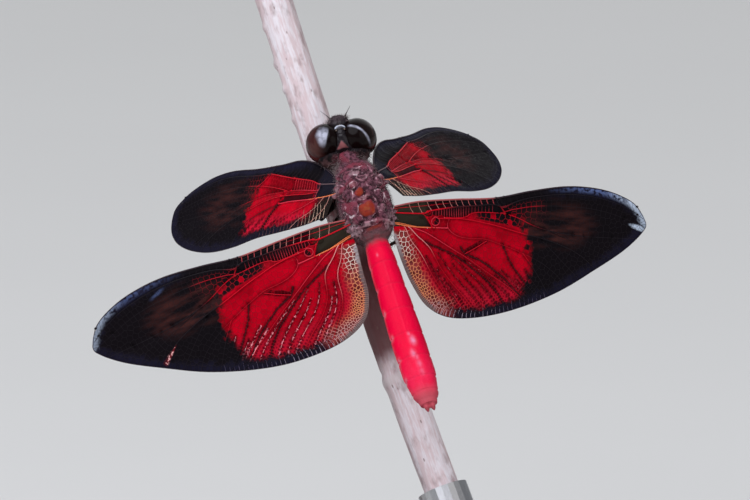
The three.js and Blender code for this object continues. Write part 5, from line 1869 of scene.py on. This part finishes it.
def bark_finish():
    """Pale lilac-grey bark with brown streaks, painted shade on its sides, a painted shadow under the
    dragonfly, and pith where the stem is cut.
    """
    finish = Finish("bark")
    spots = finish.kept("bark", vector=True)
    x, _, s = finish.parts(spots)
    long = finish.stretch(spots, 1, 1, 0.14)
    streak = finish.grain(long, 1.6, 4, 0.65)
    thin = finish.grain(long, 5, 3, 0.6)
    mottle = finish.grain(finish.stretch(spots, 1, 1, 0.5), 0.9, 3, 0.6)
    dots = finish.cells(finish.stretch(spots, 1, 1, 0.45), 1.5)
    tone = finish.layers(
        paint("bark_shade", 2.1), ((streak * 0.6 + thin * 0.4).rise(0.42, 0.62), paint("bark")),
        (thin.rise(0.54, 0.72) * 0.5, (0.74, 0.68, 0.7)), (mottle.fall(0.3, 0.5) * 0.7, (0.3, 0.2, 0.2)),
        # painted shade: the lower stem darker on one side
        ((x + mottle).fall(-1.5, -0.4) * s.fall(-12, -4) * 0.5, (0.22, 0.14, 0.14)),
        # painted shade: the upper stem darker towards its edges
        ((x.size() - 1.1).rise(0, 0.5) * s.rise(0, 8) * 0.35, (0.4, 0.3, 0.3)),
        # painted shadow of the dragonfly's body and wings on the stem, reddened by light from the abdomen
        ((s + mottle * 2).rise(-13.5, -11.5) * (s - mottle * 2).fall(-6, -2.5) * 0.92,
         (0.105, 0.022, 0.024)),
        ((s - LEAF_SCAR).size().fall(0.2, 0.5) * 0.6, (0.62, 0.55, 0.55)),
        (dots.fall(0.08, 0.14) * 0.7, (0.18, 0.1, 0.09)),
        (s.rise(STEM_ABOVE - 0.03, STEM_ABOVE - 0.01).most(
            s.fall(-STEM_BELOW + 0.01, -STEM_BELOW + 0.03)), (0.55, 0.43, 0.28)))
    return finish.surface(tone, 0.78, Normal=finish.bump(streak * 0.7 + thin * 0.5, 0.12, 0.8))


# The base's outline from its underside up: how far inside its rim, and how high.
BASE_PROFILE = [(1.1, 0), (0.5, 0.08), (0.12, 0.4), (0, 0.95), (0.06, 1.3), (0.32, 1.5), (0.32, 1.66),
                (0.1, 1.86), (0.06, 2.3), (0.25, 2.85), (0.7, 3.4), (1.3, 3.78)]


def build_stand():
    """The turned wood base, and the finish of the steel rod and cup."""
    low, high = (np.array(corner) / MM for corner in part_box("stand_base"))
    radius, top = (high[0] - low[0]) / 2, high[2]
    profile = [(radius - depth, z) for depth, z in (*BASE_PROFILE, (2.1, top - 0.03), (3, top))]
    base = loft("stand_base_turned", [[(x * r, y * r, z) for x, y in circle(160)]
                                      for r, z in (*profile, (0.4, top))])
    wood = Finish("dark_wood")
    spots = wood.places()
    _, y, z = wood.parts(spots)
    wave = wood.grain(wood.stretch(spots, 0.012, 0.1, 0.1), 1, 3)
    rings = wood.maths("SINE", y * 0.8 + wave * 26 + z * 0.3)
    pores = wood.grain(wood.stretch(spots, 0.16, 2.6, 2.6), 1)
    tone = wood.layers(paint("wood", 0.6), (rings * 0.5 + 0.5, paint("wood", 1.5)),
                       (pores.fall(0.36, 0.46) * 0.7, paint("wood", 0.3)))
    settle(base, wood.surface(tone, 0.32 + pores * 0.1, Normal=wood.bump(pores, 0.06, 0.5),
                              Coat_Weight=0.5, Coat_Roughness=0.18), WORLD, ["stand_base"])
    steel = Finish("brushed_steel")
    lines = steel.grain(steel.stretch(steel.places(), 6, 6, 0.3), 1, 3)
    tone = steel.mix(lines, (0.45, 0.45, 0.46), (0.62, 0.62, 0.63))
    metal = steel.surface(tone, 0.24 + lines * 0.12, Metallic=1)
    for name in ("stand_rod", "stand_cup"):
        slots = NODES[name].data.materials
        if not slots:
            slots.append(metal)
        for index in range(len(slots)):
            slots[index] = metal


# ---- operators and panel


class DRAGONFLY_OT_body(Operator):
    """Make the skin of the thorax and abdomen"""

    bl_idname = "dragonfly.body"
    bl_label = "Body"

    def execute(self, context):
        build_body()
        return {"FINISHED"}


class DRAGONFLY_OT_head(Operator):
    """Make the head's skin and its three small eyes"""

    bl_idname = "dragonfly.head"
    bl_label = "Head"

    def execute(self, context):
        build_head()
        return {"FINISHED"}


class DRAGONFLY_OT_eyes(Operator):
    """Make the two compound eyes"""

    bl_idname = "dragonfly.eyes"
    bl_label = "Compound eyes"

    def execute(self, context):
        build_eyes()
        return {"FINISHED"}


class DRAGONFLY_OT_antennae(Operator):
    """Make the antennae"""

    bl_idname = "dragonfly.antennae"
    bl_label = "Antennae"

    def execute(self, context):
        build_antennae()
        return {"FINISHED"}


class DRAGONFLY_OT_wings(Operator):
    """Make the membranes and veins of the four wings"""

    bl_idname = "dragonfly.wings"
    bl_label = "Wings"

    def execute(self, context):
        build_wings()
        return {"FINISHED"}


class DRAGONFLY_OT_legs(Operator):
    """Make the six legs with their spines and claws"""

    bl_idname = "dragonfly.legs"
    bl_label = "Legs"

    def execute(self, context):
        build_legs()
        return {"FINISHED"}


class DRAGONFLY_OT_coat(Operator):
    """Make the short hair of the thorax and head"""

    bl_idname = "dragonfly.coat"
    bl_label = "Hair"

    def execute(self, context):
        build_coat()
        return {"FINISHED"}


class DRAGONFLY_OT_stem(Operator):
    """Make the plant stem"""

    bl_idname = "dragonfly.stem"
    bl_label = "Stem"

    def execute(self, context):
        build_stem()
        return {"FINISHED"}


class DRAGONFLY_OT_stand(Operator):
    """Make the wood base and finish the steel rod and cup"""

    bl_idname = "dragonfly.stand"
    bl_label = "Display stand"

    def execute(self, context):
        build_stand()
        return {"FINISHED"}


class DRAGONFLY_OT_stage(Operator):
    """Set up the floor, the lights and the camera"""

    bl_idname = "dragonfly.stage"
    bl_label = "Floor, lights and camera"

    def execute(self, context):
        build_stage()
        return {"FINISHED"}


PIECES = (
    DRAGONFLY_OT_stage, DRAGONFLY_OT_body, DRAGONFLY_OT_head, DRAGONFLY_OT_eyes, DRAGONFLY_OT_antennae,
    DRAGONFLY_OT_wings, DRAGONFLY_OT_legs, DRAGONFLY_OT_coat, DRAGONFLY_OT_stem, DRAGONFLY_OT_stand
)


class DRAGONFLY_PT_panel(Panel):
    """Lists the sizes, the colours and the pieces"""

    bl_idname = "DRAGONFLY_PT_panel"
    bl_label = "Dragonfly"
    bl_space_type = "VIEW_3D"
    bl_region_type = "UI"
    bl_category = "Dragonfly"

    def draw(self, context):
        for group in (context.scene.dragonfly_sizes, context.scene.dragonfly_colours):
            box = self.layout.box()
            for key in group.__annotations__:
                box.prop(group, key)
        for piece in PIECES:
            self.layout.operator(piece.bl_idname)


CLASSES = (DragonflySizes, DragonflyColours, *PIECES, DRAGONFLY_PT_panel)


def register():
    """Registers the classes and the properties."""
    for item in CLASSES:
        bpy.utils.register_class(item)
    bpy.types.Scene.dragonfly_sizes = PointerProperty(type=DragonflySizes)
    bpy.types.Scene.dragonfly_colours = PointerProperty(type=DragonflyColours)


def unregister():
    """Removes the classes and the properties."""
    del bpy.types.Scene.dragonfly_colours
    del bpy.types.Scene.dragonfly_sizes
    for item in reversed(CLASSES):
        bpy.utils.unregister_class(item)


def main():
    """Builds the whole model."""
    register()
    for piece in PIECES:
        group, name = piece.bl_idname.split(".")
        getattr(getattr(bpy.ops, group), name)()
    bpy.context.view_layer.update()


if __name__ == "__main__":
    main()
